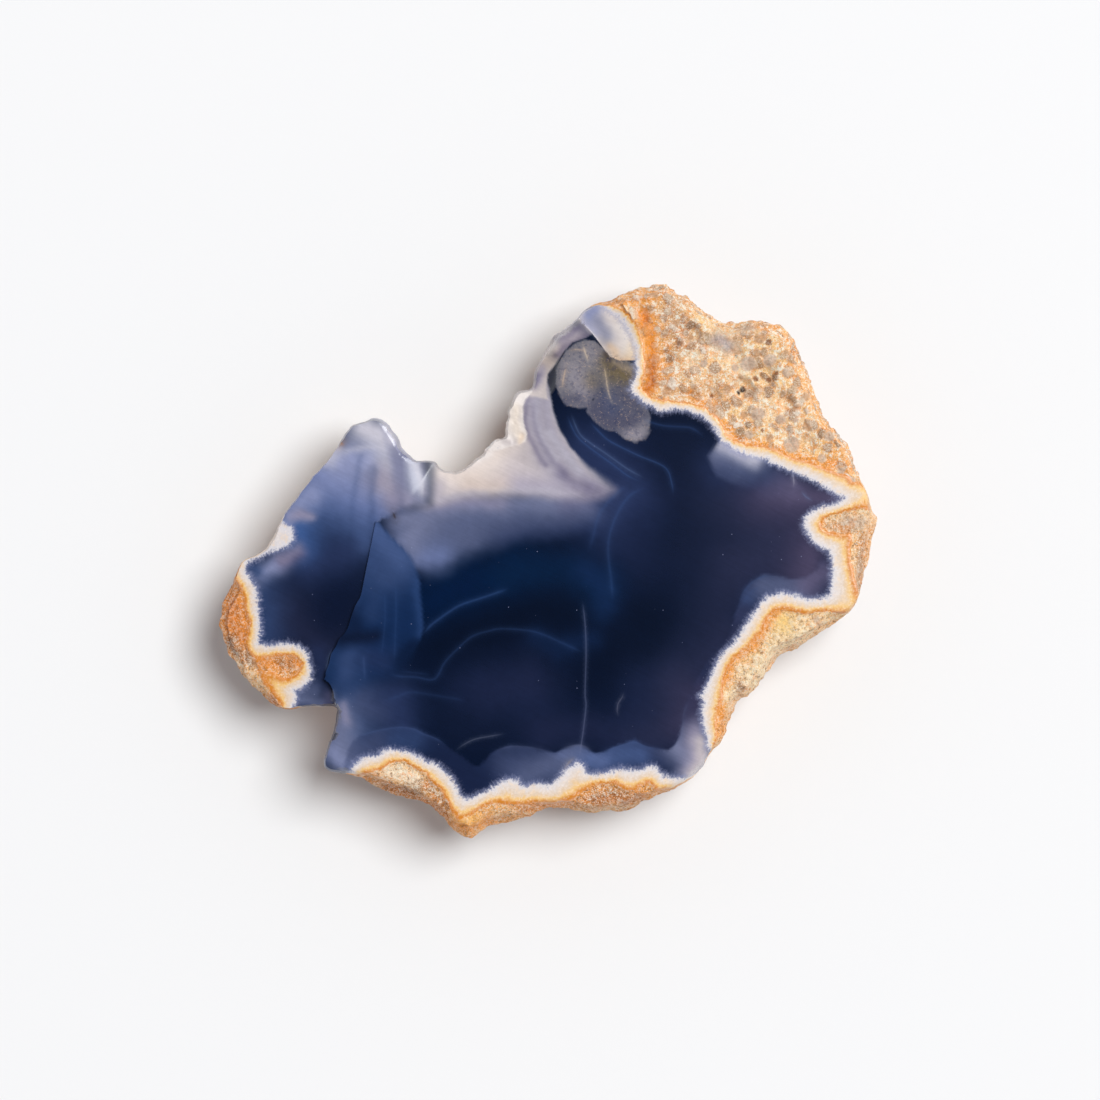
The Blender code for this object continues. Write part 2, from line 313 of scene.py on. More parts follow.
# The neck's shell-like scar falls away towards the bay from these two edges.
neckRidge = [
    (380, 414), (384, 432), (388, 450), (395, 480), (406, 506), (425, 508), (440, 505), (450, 502),
    (465, 499), (480, 497), (500, 495.5), (520, 496), (540, 497), (560, 499), (585, 500), (604, 497),
]
ribRidge = [
    (612, 492), (600, 480), (590, 470), (580, 460), (571, 450), (565, 440), (560, 430), (556, 420),
    (553, 410), (551, 400), (549, 390), (547, 378), (540, 366),
]
neckArea = neckRidge + ribRidge + [(520, 350), (470, 370), (430, 430), (400, 400)]

# Stretches where the natural skin rounds over further: place, reach in pixels, extra inset in mm.
roundSpots = [
    ((400, 790), 45, 2.0), ((505, 822), 45, 2.6), ((610, 812), 45, 2.2), ((690, 785), 30, 1.0),
    ((770, 660), 60, 1.0), ((868, 540), 40, 1.8), ((225, 620), 55, 2.4), ((275, 545), 22, 0.8),
    ((290, 705), 25, 0.8), ((548, 350), 36, 1.3), ((690, 300), 60, 0.9), ((800, 360), 60, 1.0),
]

# Pits worn in the host rock: place, reach in pixels, depth in mm.
rockPits = [
    ((743, 391), 11, 1.6), ((763, 378), 12, 1.2), ((712, 399), 8, 0.8), ((690, 335), 9, 1.0),
    ((667, 362), 9, 0.7), ((735, 358), 8, 0.7), ((806, 448), 9, 0.9), ((785, 405), 9, 0.8),
    ((640, 318), 9, 0.8),
]

# The natural borders on the sawn face. Blue stone lies inside the first line.
blueArea = [
    (283, 524), (288, 527), (293, 530), (294, 536), (293, 543), (288, 547), (280, 551), (272, 552),
    (266, 555), (260, 559), (252, 561), (247, 566), (246, 572), (250, 578), (253, 585), (257, 590),
    (258, 600), (259, 612), (260, 622), (261, 635), (259, 645), (266, 647), (275, 647), (285, 645),
    (295, 646), (303, 650), (308, 655), (309, 662), (312, 670), (311, 680), (306, 686), (300, 690),
    (295, 692), (298, 698), (296, 704), (292, 716), (320, 716), (320, 782), (348, 782), (352, 774),
    (355, 766), (362, 760), (370, 757), (378, 757), (384, 752), (391, 750), (398, 751), (405, 752),
    (412, 754), (420, 758), (427, 762), (434, 764), (441, 768), (446, 773), (451, 778), (455, 784),
    (458, 790), (461, 797), (466, 799), (472, 799), (478, 796), (486, 792), (494, 788), (500, 783),
    (506, 780), (512, 780), (518, 781), (522, 787), (530, 786), (538, 784), (545, 786), (552, 785),
    (560, 778), (566, 770), (574, 765), (578, 763), (584, 768), (586, 773), (592, 775), (600, 775),
    (607, 773), (614, 771), (622, 770), (630, 771), (638, 771), (645, 768), (652, 767), (657, 769),
    (660, 774), (664, 777), (672, 778), (680, 778), (692, 781), (706, 790), (724, 762), (712, 752),
    (707, 746), (706, 736), (703, 728), (702, 720), (701, 712), (703, 703), (700, 697), (706, 688),
    (710, 678), (714, 668), (718, 660), (725, 652), (732, 645), (738, 637), (744, 628), (748, 622),
    (752, 616), (757, 610), (760, 604), (766, 599), (774, 596), (782, 595), (790, 596), (798, 598),
    (806, 601), (812, 601), (820, 600), (828, 598), (830, 592), (831, 585), (831, 575), (831, 566),
    (830, 558), (827, 551), (821, 549), (815, 545), (810, 540), (806, 533), (803, 527), (804, 521),
    (808, 516), (814, 512), (822, 509), (830, 507), (838, 504), (843, 500), (836, 496), (830, 492),
    (822, 488), (816, 483), (808, 480), (800, 476), (790, 472), (780, 468), (770, 464), (764, 460),
    (752, 458), (740, 455), (733, 451), (726, 446), (720, 441), (718, 436), (715, 431), (712, 427),
    (706, 421), (698, 416), (692, 414), (684, 412), (676, 411), (668, 412), (662, 413), (656, 411),
    (650, 407), (645, 405), (638, 400), (630, 392), (633, 385), (637, 376), (636, 352), (630, 335),
    (620, 320), (607, 311), (597, 304), (574, 298), (545, 325), (520, 370), (496, 385), (480, 425),
    (440, 455), (420, 440), (385, 405), (350, 410), (325, 445), (285, 495), (270, 520),
]

# Host rock lies inside these; the first is its main body.
rockAreas = [
    [
        (600, 305), (625, 312), (635, 325), (643, 345), (645, 375), (641, 390), (650, 399), (665, 402),
        (690, 405), (705, 410), (715, 418), (722, 427), (726, 436), (735, 443), (745, 446), (760, 448),
        (772, 450), (782, 455), (792, 460), (805, 463), (815, 467), (830, 472), (845, 478), (852, 484),
        (920, 470), (860, 300), (700, 240), (590, 260),
    ],
    [
        (236, 582), (242, 590), (245, 600), (246, 612), (250, 622), (250, 634), (246, 641), (249, 652),
        (256, 661), (262, 672), (262, 680), (268, 689), (276, 698), (282, 706), (270, 730), (190, 700),
        (190, 590),
    ],
    [
        (256, 665), (266, 659), (276, 657), (288, 656), (298, 658), (303, 663), (302, 671), (295, 677),
        (288, 681), (279, 677), (270, 673), (260, 672),
    ],
    [
        (358, 777), (368, 774), (378, 771), (388, 766), (396, 762), (404, 762), (411, 765), (418, 769),
        (425, 774), (432, 781), (438, 787), (443, 793), (447, 801), (451, 809), (455, 815), (459, 821),
        (450, 850), (380, 820), (350, 790),
    ],
    [
        (455, 822), (470, 816), (478, 810), (486, 806), (495, 803), (505, 804), (515, 805), (525, 804),
        (532, 803), (540, 804), (550, 806), (560, 805), (570, 801), (578, 796), (585, 790), (592, 786),
        (600, 784), (608, 783), (614, 784), (620, 788), (627, 791), (634, 791), (640, 787), (646, 784),
        (652, 785), (656, 791), (668, 791), (680, 800), (640, 830), (500, 850), (440, 845),
    ],
    [
        (820, 524), (826, 518), (838, 515), (850, 511), (862, 510), (868, 514), (890, 510), (890, 600),
        (862, 600), (857, 592), (853, 578), (850, 564), (849, 550), (851, 539), (848, 535), (838, 535),
        (828, 534), (821, 530),
    ],
    [
        (842, 616), (830, 613), (815, 613), (805, 615), (795, 613), (782, 611), (774, 613), (768, 618),
        (764, 626), (760, 634), (755, 640), (750, 646), (742, 652), (735, 658), (730, 664), (726, 672),
        (723, 682), (722, 692), (722, 700), (718, 710), (716, 720), (717, 730), (717, 740), (712, 750),
        (730, 760), (800, 700), (880, 630),
    ],
]


# Distance from each place to an open line.
def lineDistance(x, y, line):
    if len(line) == 1:
        return np.hypot(x - line[0][0], y - line[0][1])
    nearest = np.full(x.shape, np.inf)
    for (ax, ay), (bx, by) in zip(line[:-1], line[1:]):
        runX, runY = bx - ax, by - ay
        along = np.clip(((x - ax) * runX + (y - ay) * runY) / (runX * runX + runY * runY), 0.0, 1.0)
        gapX, gapY = x - (ax + along * runX), y - (ay + along * runY)
        nearest = np.minimum(nearest, gapX * gapX + gapY * gapY)
    return np.sqrt(nearest)


# Distance from each place to a closed outline, positive inside it.
def insideDistance(x, y, outline):
    loop = list(outline) + [outline[0]]
    inside = np.zeros(x.shape, dtype=bool)
    for (ax, ay), (bx, by) in zip(loop[:-1], loop[1:]):
        if ay != by:
            inside ^= ((ay > y) != (by > y)) & (x < (bx - ax) * (y - ay) / (by - ay) + ax)
    return lineDistance(x, y, loop) * np.where(inside, 1.0, -1.0)


# The same for places in metres and an area in picture pixels.
def depthIn(x, y, area):
    return insideDistance(x, y, places(area))


# Where noise of a given size is read; each seed looks at another part of it.
def noiseSpots(points, size, seed):
    shift = Vector((seed * 7.3, seed * 3.1, seed * 5.7))
    return [Vector(point) / size + shift for point in points]


def grain(points, size, seed):
    return np.array([noise.noise(spot) for spot in noiseSpots(points, size, seed)])


def roughGrain(points, size, seed, layers=3):
    smoothness, finer = 0.7, 2.1
    spots = noiseSpots(points, size, seed)
    return np.array([noise.fractal(spot, smoothness, finer, layers) for spot in spots])


def lumpsAt(points):
    return grain(points, 6.0 * mm, 1) + 0.45 * grain(points, 2.8 * mm, 2)


# Evenly spaced places along a curve through given spots.
def smoothPath(spots, spacing, closed=False):
    corners = np.array(spots, dtype=float)
    if closed:
        before, after, later = [np.roll(corners, shift, axis=0) for shift in (1, -1, -2)]
    else:
        before = np.vstack([corners[:1], corners[:-1]])
        after = np.vstack([corners[1:], corners[-1:]])
        later = np.vstack([corners[2:], corners[-1:], corners[-1:]])[:len(corners)]
    stepsEach = 12
    steps = []
    for t in np.linspace(0.0, 1.0, stepsEach, endpoint=False):
        steps.append(0.5 * (
            2 * corners + (after - before) * t
            + (2 * before - 5 * corners + 4 * after - later) * t * t
            + (3 * corners - before - 3 * after + later) * t ** 3
        ))
    dense = np.stack(steps, axis=1).reshape(-1, 2)
    if closed:
        dense = np.vstack([dense, dense[:1]])
    else:
        dense = np.vstack([dense[:1 - stepsEach], corners[-1:]])
    travelled = np.concatenate([[0.0], np.cumsum(np.hypot(*np.diff(dense, axis=0).T))])
    count = max(int(travelled[-1] / spacing), 3)
    stops = np.linspace(0.0, travelled[-1], count, endpoint=not closed)
    return np.interp(stops, travelled, dense[:, 0]), np.interp(stops, travelled, dense[:, 1])


# How far along a closed outline its nearest point lies, for spines that stand across the border.
def borderRun(x, y, outline):
    corners = np.array(outline, dtype=float)
    nearest = np.full(x.shape, np.inf)
    run = np.zeros(x.shape)
    travelled = 0.0
    for (ax, ay), (bx, by) in zip(corners, np.roll(corners, -1, axis=0)):
        length = math.hypot(bx - ax, by - ay)
        along = np.clip(((x - ax) * (bx - ax) + (y - ay) * (by - ay)) / length ** 2, 0.0, 1.0)
        gap = np.hypot(x - ax - along * (bx - ax), y - ay - along * (by - ay))
        closer = gap < nearest
        nearest = np.where(closer, gap, nearest)
        run = np.where(closer, travelled + along * length, run)
        travelled += length
    return run


# Quartz grains in the host rock: how deep each place lies inside a grain, and the grain's own tone.
def grainsAt(points, wanted):
    size, radius = stoneForm["grainSize"], stoneForm["grainRadius"]
    depths = np.full(len(points), -size)
    tones = np.zeros(len(points))
    for index in np.flatnonzero(wanted):
        spot = Vector(points[index]) / size
        drift = [noise.noise(spot * 1.4 + Vector((0.0, 0.0, shift))) for shift in (0.0, 31.7, 63.1)]
        spot += 0.3 * Vector(drift)
        gaps, centres = noise.voronoi(spot)
        tone = 0.5 + 0.5 * noise.cell(centres[0] * 17.0)
        depths[index] = (radius + radius * tone - gaps[0]) * size
        tones[index] = tone * 7.3 % 1.0
    return depths, tones


def gapTo(x, y, spot):
    spotX, spotY = place(spot)
    return np.hypot(x - spotX, y - spotY)


def edgeInset(x, y):
    inset = np.full(x.shape, stoneForm["edgeInset"])
    for spot, reach, extra in roundSpots:
        gap = gapTo(x, y, spot) / (reach * pixel)
        inset += extra * mm * np.exp(-gap * gap)
    return inset


def pitDepth(x, y):
    depth = np.zeros(x.shape)
    for spot, reach, deep in rockPits:
        gap = gapTo(x, y, spot) / (reach * pixel)
        depth = np.maximum(depth, deep * mm * np.exp(-gap ** 4))
    return depth


# Height of the stone's upper side at each place, after the saw and the breaks.
def upperHeight(x, y, depth, rock, lumps):
    form = stoneForm
    face = form["faceHeight"]
    inset = edgeInset(x, y)
    inward = np.clip(depth / inset, 0.0, 1.0)
    rounded = form["edgeDrop"] * inset * (1.0 - np.sqrt(1.0 - (1.0 - inward) ** 2))
    proud = form["sawAllowance"] * np.clip(depth / inset - 1.0, 0.0, 1.0)
    skin = face + proud - rounded + form["skinLumps"] * lumps * (1.0 - inward * 0.5)
    rockSkin = face - form["rockSink"] - rounded + form["rockLumps"] * lumps - pitDepth(x, y)
    height = np.minimum(skin * (1.0 - rock) + rockSkin * rock, face)

    lobeFloor = face + (x - columnPlace(form["lobeHinge"])) * math.tan(form["lobeTilt"])
    height = np.where(depthIn(x, y, lobeArea) > 0, np.minimum(height, lobeFloor), height)
    cornerDrop = form["cornerDepth"] - (x - columnPlace(form["cornerPivot"])) * math.tan(form["cornerTilt"])
    cornerFloor = face - cornerDrop * smoothStep(x, *[columnPlace(column) for column in form["cornerFade"]])
    height = np.where(depthIn(x, y, cornerFacet) > 0, np.minimum(height, cornerFloor), height)

    softness, blend = form["neckSoftness"], form["neckBlend"]
    ribSoftness = softness * form["ribSoftness"]
    fall = np.hypot(lineDistance(x, y, places(neckRidge)), softness) - softness
    ribFall = np.hypot(lineDistance(x, y, places(ribRidge)), ribSoftness) - ribSoftness
    fall = -blend * np.logaddexp(-fall * form["neckSlope"] / blend, -ribFall * form["ribSlope"] / blend)
    fall = fall * smoothStep(x, *[columnPlace(column) for column in form["neckStart"]])
    neckFloor = face - np.maximum(fall, 0.0)
    height = np.where(depthIn(x, y, neckArea) > 0, np.minimum(height, neckFloor), height)
    spot, pixels, flatness = form["shoulderScar"]
    radius = pixels * pixel
    gap = gapTo(x, y, spot)
    ball = radius * math.hypot(1.0, flatness)
    shell = face + radius * flatness - np.sqrt(np.maximum(ball * ball - gap * gap, 0.0))
    return np.where(gap < radius, np.minimum(height, shell), height)


def lowerHeight(x, y, depth, lumps):
    form = stoneForm
    (spotX, spotY), (radiusX, radiusY) = form["spotCentre"], form["spotRadii"]
    reach = ((x - spotX) / radiusX) ** 2 + ((y - spotY) / radiusY) ** 2
    bowl = form["bellyRise"] * (reach - 1.0)
    margin = form["marginRise"] * np.clip(1.0 - depth / form["marginWidth"], 0.0, 1.0) ** 2
    neckSpot, neckRise, neckReach = form["neckThin"]
    neckX, neckY = place(neckSpot)
    gap = (x - neckX) ** 2 + (y - neckY) ** 2
    neck = neckRise * np.exp(-gap / (2 * neckReach ** 2))
    rough = form["bellyLumps"] * lumps * smoothStep(reach, 0.7, 1.3)
    return np.maximum(bowl + margin + neck + rough, 0.0)


# A grid of even triangles over the stone, and which of its places a mesh of half the fineness keeps.
def hexGrid(spacing):
    reach = picture["stoneWidth"] * 0.52
    rowHeight = 0.866                # of even triangles, in widths
    rows = np.arange(int(reach * 2 / (spacing * rowHeight)))
    row, column = np.meshgrid(rows, np.arange(int(reach * 2 / spacing)), indexing="ij")
    x = (column + 0.5 * (row % 2)) * spacing - reach
    y = row * spacing * rowHeight - reach
    coarse = (row % 2 == 0) & (column % 2 == (row // 2) % 2)
    return x.ravel(), y.ravel(), coarse.ravel()


# Lines on each side of a path, so that the mesh keeps the path's edges crisp.
def besideLine(line, gaps):
    x, y = smoothPath(places(line), stoneForm["lineSpacing"])
    runX = np.gradient(x)
    runY = np.gradient(y)
    length = np.hypot(runX, runY)
    return [np.column_stack([x + runY / length * gap, y - runX / length * gap]) for gap in gaps]


def rockDistance(x, y):
    distance = np.full(x.shape, -1.0)
    for area in rockAreas:
        distance = np.maximum(distance, depthIn(x, y, area))
    return distance


def needsFineMesh(x, y):
    fine = (depthIn(x, y, blueArea) < 0.7 * mm) | (lineDistance(x, y, places(ledgeLine)) < 0.4 * mm)
    fine |= (depthIn(x, y, neckArea) > -0.5 * mm) | (depthIn(x, y, cornerFacet) > -0.3 * mm)
    return fine | (gapTo(x, y, (600, 395)) < 60 * pixel)


print("stone: outline and form are ready")

# Screen colours of the stone's parts, before light falls on them.
palette = {
    "teal": (9, 33, 65), "night": (12, 22, 47), "ink": (16, 26, 50), "navy": (26, 36, 66),
    "cobalt": (40, 52, 88), "plum": (31, 38, 67), "storm": (44, 48, 76), "mauve": (58, 55, 82),
    "heather": (82, 74, 102), "steel": (52, 71, 112), "denim": (72, 92, 138), "slate": (66, 76, 110),
    "haze": (88, 97, 130), "mist": (116, 122, 153), "lilac": (150, 144, 168), "iris": (146, 153, 190),
    "pearl": (206, 203, 215), "blush": (206, 195, 196), "shell": (236, 222, 212), "chalk": (243, 234, 229),
    "cream": (248, 220, 182), "sand": (240, 200, 158), "tan": (196, 150, 110), "straw": (251, 204, 128),
    "orange": (234, 150, 62), "rust": (198, 108, 20), "umber": (128, 80, 46), "coal": (40, 28, 24),
    "dove": (198, 172, 152), "fog": (158, 152, 164), "moss": (142, 137, 144), "lichen": (116, 114, 122),
    "olive": (112, 96, 66), "lagoon": (60, 88, 140), "glint": (120, 146, 190), "grape": (100, 94, 124),
    "ash": (84, 84, 104), "wood": (178, 158, 140), "wheat": (252, 200, 138), "flour": (253, 240, 225),
    "quartz": (220, 190, 160), "grit": (148, 110, 82), "rib": (170, 164, 180), "deep": (10, 21, 44),
    "gulf": (5, 27, 60), "harbour": (20, 42, 80), "azure": (64, 94, 150), "sky": (112, 126, 172),
    "pitch": (8, 18, 38), "amber": (230, 138, 34), "silver": (182, 184, 204), "veil": (130, 132, 161),
    "mushroom": (218, 206, 202), "ochre": (216, 142, 74), "oat": (236, 210, 182), "salt": (228, 225, 232),
    "honey": (224, 140, 40),
}

# Washes are soft strokes of one colour: colour, strength, radius in pixels, spots along the stroke.
faceWashes = [
    ("navy", 0.9, 52, [(600, 480), (650, 500), (640, 540)]),
    ("cobalt", 0.85, 32, [(590, 455), (628, 492), (604, 516)]),
    ("ink", 0.9, 28, [(680, 440), (675, 465), (702, 495), (682, 540)]),
    ("storm", 0.8, 46, [(745, 500), (775, 535), (762, 560)]),
    ("storm", 0.55, 40, [(735, 570), (718, 610), (700, 645), (682, 668)]),
    ("storm", 0.5, 13, [(724, 632), (706, 664)]),
    ("mauve", 0.85, 26, [(760, 500), (800, 520), (805, 545), (800, 570)]),
    ("heather", 0.9, 16, [(770, 494), (800, 498), (832, 500)]),
    ("grape", 0.6, 13, [(775, 484), (790, 490)]),
    ("heather", 0.7, 18, [(812, 556), (806, 585)]),
    ("cobalt", 0.55, 24, [(720, 470), (760, 474)]),
    ("gulf", 1.0, 30, [(436, 604), (452, 592), (480, 584), (515, 580)]),
    ("teal", 0.9, 26, [(515, 576), (560, 578), (596, 588)]),
    ("harbour", 0.8, 15, [(586, 574), (604, 586), (604, 606)]),
    ("pitch", 0.9, 24, [(445, 645), (480, 640), (510, 622), (560, 612)]),
    ("pitch", 0.7, 28, [(650, 620), (640, 650), (604, 668)]),
    ("harbour", 0.5, 13, [(590, 640), (560, 648), (540, 640)]),
    ("plum", 0.95, 34, [(488, 698), (528, 690)]),
    ("navy", 0.5, 26, [(470, 690), (540, 716)]),
    ("ink", 0.7, 22, [(470, 730), (500, 728)]),
    ("plum", 0.8, 20, [(545, 735), (590, 728), (620, 735)]),
    ("ink", 0.7, 20, [(430, 705), (450, 722)]),
    ("navy", 0.7, 26, [(640, 690), (636, 720)]),
    ("storm", 0.7, 30, [(676, 690), (668, 720), (650, 745)]),
    ("mauve", 0.8, 22, [(692, 700), (686, 722)]),
    ("steel", 0.95, 30, [(350, 676), (352, 700), (348, 740)]),
    ("slate", 0.8, 18, [(370, 706), (384, 712)]),
    ("cobalt", 0.85, 22, [(398, 700), (402, 724)]),
    ("mist", 0.85, 22, [(336, 722), (342, 745), (356, 760)]),
    ("iris", 0.6, 9, [(333, 752), (345, 764), (352, 766)]),
    ("lilac", 0.6, 6, [(344, 707), (346, 722)]),
]
hazeArea = [
    (380, 500), (420, 500), (640, 490), (625, 516), (600, 528), (570, 534), (540, 538), (505, 543),
    (485, 550), (470, 558), (458, 566), (445, 573), (428, 577), (412, 568), (400, 548), (384, 530),
]
hazeWashes = [
    ("haze", 1.0, 60, [(430, 535), (460, 530)]),
    ("cobalt", 0.8, 16, [(510, 546), (560, 540), (600, 530)]),
    ("slate", 0.8, 20, [(510, 532), (545, 524), (585, 514)]),
    ("haze", 0.9, 14, [(470, 522), (520, 512), (560, 506), (590, 504)]),
    ("sky", 0.7, 15, [(402, 548), (412, 562), (440, 560)]),
    ("mist", 0.9, 18, [(398, 510), (416, 526), (410, 545)]),
    ("mist", 0.85, 10, [(430, 514), (470, 508), (510, 504), (560, 502), (585, 500)]),
    ("lilac", 0.8, 10, [(430, 503), (470, 502), (500, 500)]),
    ("grape", 0.5, 14, [(570, 500), (606, 490)]),
    ("cobalt", 0.75, 16, [(612, 504), (640, 500)]),
]
wedgeArea = [
    (377, 522), (384, 530), (392, 538), (402, 548), (410, 557), (415, 567), (419, 580), (422, 597),
    (423, 612), (423, 627), (421, 640), (414, 652), (404, 664), (392, 674), (374, 680), (340, 690),
    (320, 700), (320, 640), (352, 600), (370, 540),
]
wedgeWashes = [
    ("harbour", 1.0, 300, [(380, 600)]),
    ("denim", 0.3, 7, [(376, 530), (366, 570), (352, 606)]),
    ("denim", 0.95, 26, [(378, 530), (388, 548), (398, 560)]),
    ("steel", 0.85, 18, [(372, 566), (388, 578)]),
    ("steel", 0.45, 12, [(374, 590), (372, 612)]),
    ("ink", 0.55, 12, [(350, 614), (356, 630)]),
    ("lagoon", 0.4, 6, [(418, 585), (420, 612), (419, 634)]),
    ("steel", 0.9, 16, [(350, 660), (348, 684)]),
    # painted shadow: a dark stroke in the gap between the wedge's upper part and the patch below it
    ("ink", 0.9, 8, [(342, 641), (356, 639), (374, 637)]),
    ("cobalt", 0.6, 14, [(372, 660), (386, 664)]),
    ("deep", 0.6, 9, [(412, 650), (402, 664)]),
]

# Between the echo line and the white rim the blue is lighter.
echoArea = [
    (346, 760), (352, 742), (360, 736), (380, 731), (400, 728), (415, 730), (425, 735), (438, 740),
    (450, 748), (460, 755), (470, 765), (478, 768), (484, 762), (492, 754), (500, 750), (512, 747),
    (530, 748), (545, 751), (555, 753), (562, 750), (571, 747), (580, 745), (588, 749), (595, 753),
    (604, 752), (614, 748), (625, 745), (635, 742), (645, 747), (655, 749), (668, 749), (676, 744),
    (681, 734), (683, 722), (683, 708), (688, 696), (694, 684), (700, 672), (708, 662), (716, 652),
    (724, 642), (730, 630), (735, 616), (739, 600), (743, 591), (750, 583), (762, 577), (776, 577),
    (790, 581), (804, 580), (816, 572), (822, 560), (840, 560), (850, 620), (730, 720), (700, 800),
    (440, 820), (380, 780), (340, 790),
]
echoWashes = [
    ("cobalt", 0.55, 300, [(560, 760)]),
    ("slate", 0.85, 24, [(512, 770), (560, 766), (600, 762)]),
    ("haze", 0.75, 14, [(528, 778), (552, 764), (572, 754)]),
    ("denim", 0.8, 14, [(592, 758), (640, 756)]),
    ("sky", 0.35, 8, [(562, 752), (586, 754), (604, 760)]),
    ("navy", 0.75, 20, [(455, 765), (472, 782)]),
    ("steel", 0.7, 13, [(395, 740), (415, 742)]),
    ("slate", 0.6, 13, [(376, 742), (366, 752)]),
    ("mauve", 0.7, 14, [(698, 690), (690, 715)]),
    ("mist", 0.95, 16, [(676, 745), (690, 760), (690, 775)]),
    ("lilac", 0.9, 12, [(697, 735), (697, 755), (690, 772)]),
    ("blush", 0.85, 8, [(702, 745), (700, 762), (690, 776)]),
    ("haze", 0.85, 15, [(762, 588), (795, 590)]),
    ("denim", 0.5, 10, [(746, 600), (738, 618)]),
    ("storm", 0.7, 9, [(742, 612), (726, 640), (712, 660)]),
    ("grape", 0.7, 14, [(806, 586), (826, 575)]),
]

# The small lobe beyond the ledge, and its pale flank.
lobeWashes = [
    ("ink", 1.0, 300, [(320, 620)]),
    ("mauve", 0.35, 34, [(285, 615), (320, 645)]),
    ("steel", 0.8, 22, [(262, 588), (268, 612), (266, 636)]),
    # darker blue beside the ledge: the lobe's own dark blue with the ledge's painted shadow on it
    ("night", 0.7, 22, [(340, 585), (333, 615)]),
    ("steel", 0.75, 32, [(310, 525), (345, 530)]),
    ("cobalt", 0.8, 20, [(345, 555), (310, 570)]),
    ("denim", 0.9, 24, [(305, 500), (345, 505), (375, 515)]),
    ("denim", 0.6, 12, [(364, 532), (366, 548)]),
    ("azure", 0.85, 17, [(300, 528), (303, 550)]),
    ("sky", 0.95, 24, [(322, 478), (350, 488), (378, 500)]),
    ("iris", 1.0, 26, [(340, 462), (370, 462)]),
    ("silver", 0.95, 17, [(386, 444), (392, 468)]),
    ("lilac", 0.85, 15, [(382, 482), (392, 490), (396, 502)]),
    ("blush", 0.25, 12, [(384, 470), (388, 488)]),
    ("iris", 0.8, 12, [(298, 508), (312, 496)]),
    ("pearl", 1.0, 16, [(366, 430), (385, 440)]),
    ("pearl", 0.7, 8, [(340, 450), (328, 462)]),
    ("steel", 0.25, 4, [(372, 470), (374, 500), (370, 530)]),
    ("steel", 0.2, 3, [(360, 458), (358, 490), (352, 520)]),
    ("pearl", 0.4, 3, [(350, 452), (368, 450), (384, 452)]),
    ("lilac", 0.85, 5, [(292, 519), (302, 515), (312, 517)]),
    ("iris", 0.6, 7, [(290, 518), (286, 524)]),
    ("iris", 0.9, 10, [(262, 574), (280, 564)]),
    ("grape", 0.8, 8, [(284, 562), (300, 554)]),
    ("lilac", 0.5, 6, [(284, 560), (298, 550)]),
    ("steel", 0.9, 8, [(250, 568), (258, 573)]),
    ("haze", 0.7, 8, [(250, 580), (258, 586)]),
    # painted light showing through the lobe's thin lower edge
    ("haze", 0.8, 9, [(300, 694), (314, 692)]),
    ("iris", 0.5, 6, [(306, 702), (322, 705)]),
    ("cobalt", 0.6, 12, [(322, 676), (318, 655)]),
    ("grape", 0.5, 6, [(328, 697), (330, 704)]),
]
lobeFlank = [
    (383, 418), (386, 440), (391, 460), (396, 482), (406, 506), (424, 508), (428, 495), (427, 478),
    (424, 466), (421, 455), (400, 420),
]
lobeFlankWashes = [
    ("veil", 0.9, 200, [(400, 480)]),
    ("haze", 0.25, 6, [(412, 474), (416, 500)]),
    ("pearl", 0.9, 11, [(388, 430), (392, 442)]),
    ("lilac", 0.5, 8, [(398, 494), (408, 503)]),
    ("fog", 0.5, 5, [(420, 468), (424, 495)]),
]

# The neck's scar: its own pinkish white with a painted reflection of light on it, a cream crust by the bay
# and grey ribs on its right side.
neckWashes = [
    # the scar's base: pinkish white, partly a painted reflection of light
    ("blush", 1.0, 300, [(480, 480)]),
    ("shell", 0.75, 15, [(440, 478), (470, 476), (490, 458)]),
    ("shell", 0.6, 10, [(500, 450), (520, 440)]),
    ("dove", 0.3, 12, [(470, 488), (500, 484)]),
    ("lilac", 0.6, 14, [(520, 488), (545, 492), (570, 494)]),
    ("rib", 0.7, 6, [(440, 503), (470, 498), (520, 495), (560, 498)]),
    ("rib", 0.6, 10, [(432, 500), (436, 488)]),
    ("rib", 0.9, 14, [(535, 395), (534, 420), (544, 450), (558, 475)]),
    ("grape", 0.4, 3, [(529, 400), (525, 412), (525, 425), (529, 440), (536, 455), (545, 467)]),
    ("grape", 0.25, 4, [(535, 398), (536, 420), (541, 443), (552, 463), (566, 478)]),
    ("pearl", 0.35, 3, [(536, 402), (539, 425), (546, 445), (558, 462)]),
    ("rib", 0.9, 8, [(546, 402), (550, 425), (560, 448), (574, 468), (592, 486)]),
    ("fog", 0.25, 2.5, [(544, 405), (547, 425), (556, 446), (568, 464), (582, 478)]),
    ("pearl", 0.4, 5, [(552, 436), (566, 458), (580, 475)]),
    ("chalk", 0.8, 3.5, [(432, 467), (450, 469), (470, 465), (488, 453)]),
    ("grape", 0.5, 8, [(562, 478), (576, 487), (594, 492)]),
    ("grape", 0.7, 11, [(590, 500), (612, 496)]),
    ("shell", 0.6, 4, [(531, 397), (528, 392)]),
]
crustArea = [
    (488, 452), (500, 450), (510, 448), (518, 446), (525, 443), (527, 436), (524, 425), (522, 412),
    (525, 402), (531, 395), (535, 388), (520, 380), (500, 400), (495, 435), (484, 440),
]
crustWashes = [
    ("chalk", 1.0, 200, [(510, 420)]),
    ("cream", 0.25, 6, [(514, 412), (514, 424), (518, 436)]),
    ("blush", 0.5, 4, [(503, 443), (512, 444)]),
    ("sand", 0.3, 3, [(518, 444), (521, 438)]),
]
shoulderArea = [
    (548, 402), (546, 390), (548, 376), (556, 366), (562, 356), (572, 345), (586, 340), (592, 336),
    (586, 326), (574, 305), (520, 350), (524, 395), (533, 398),
]
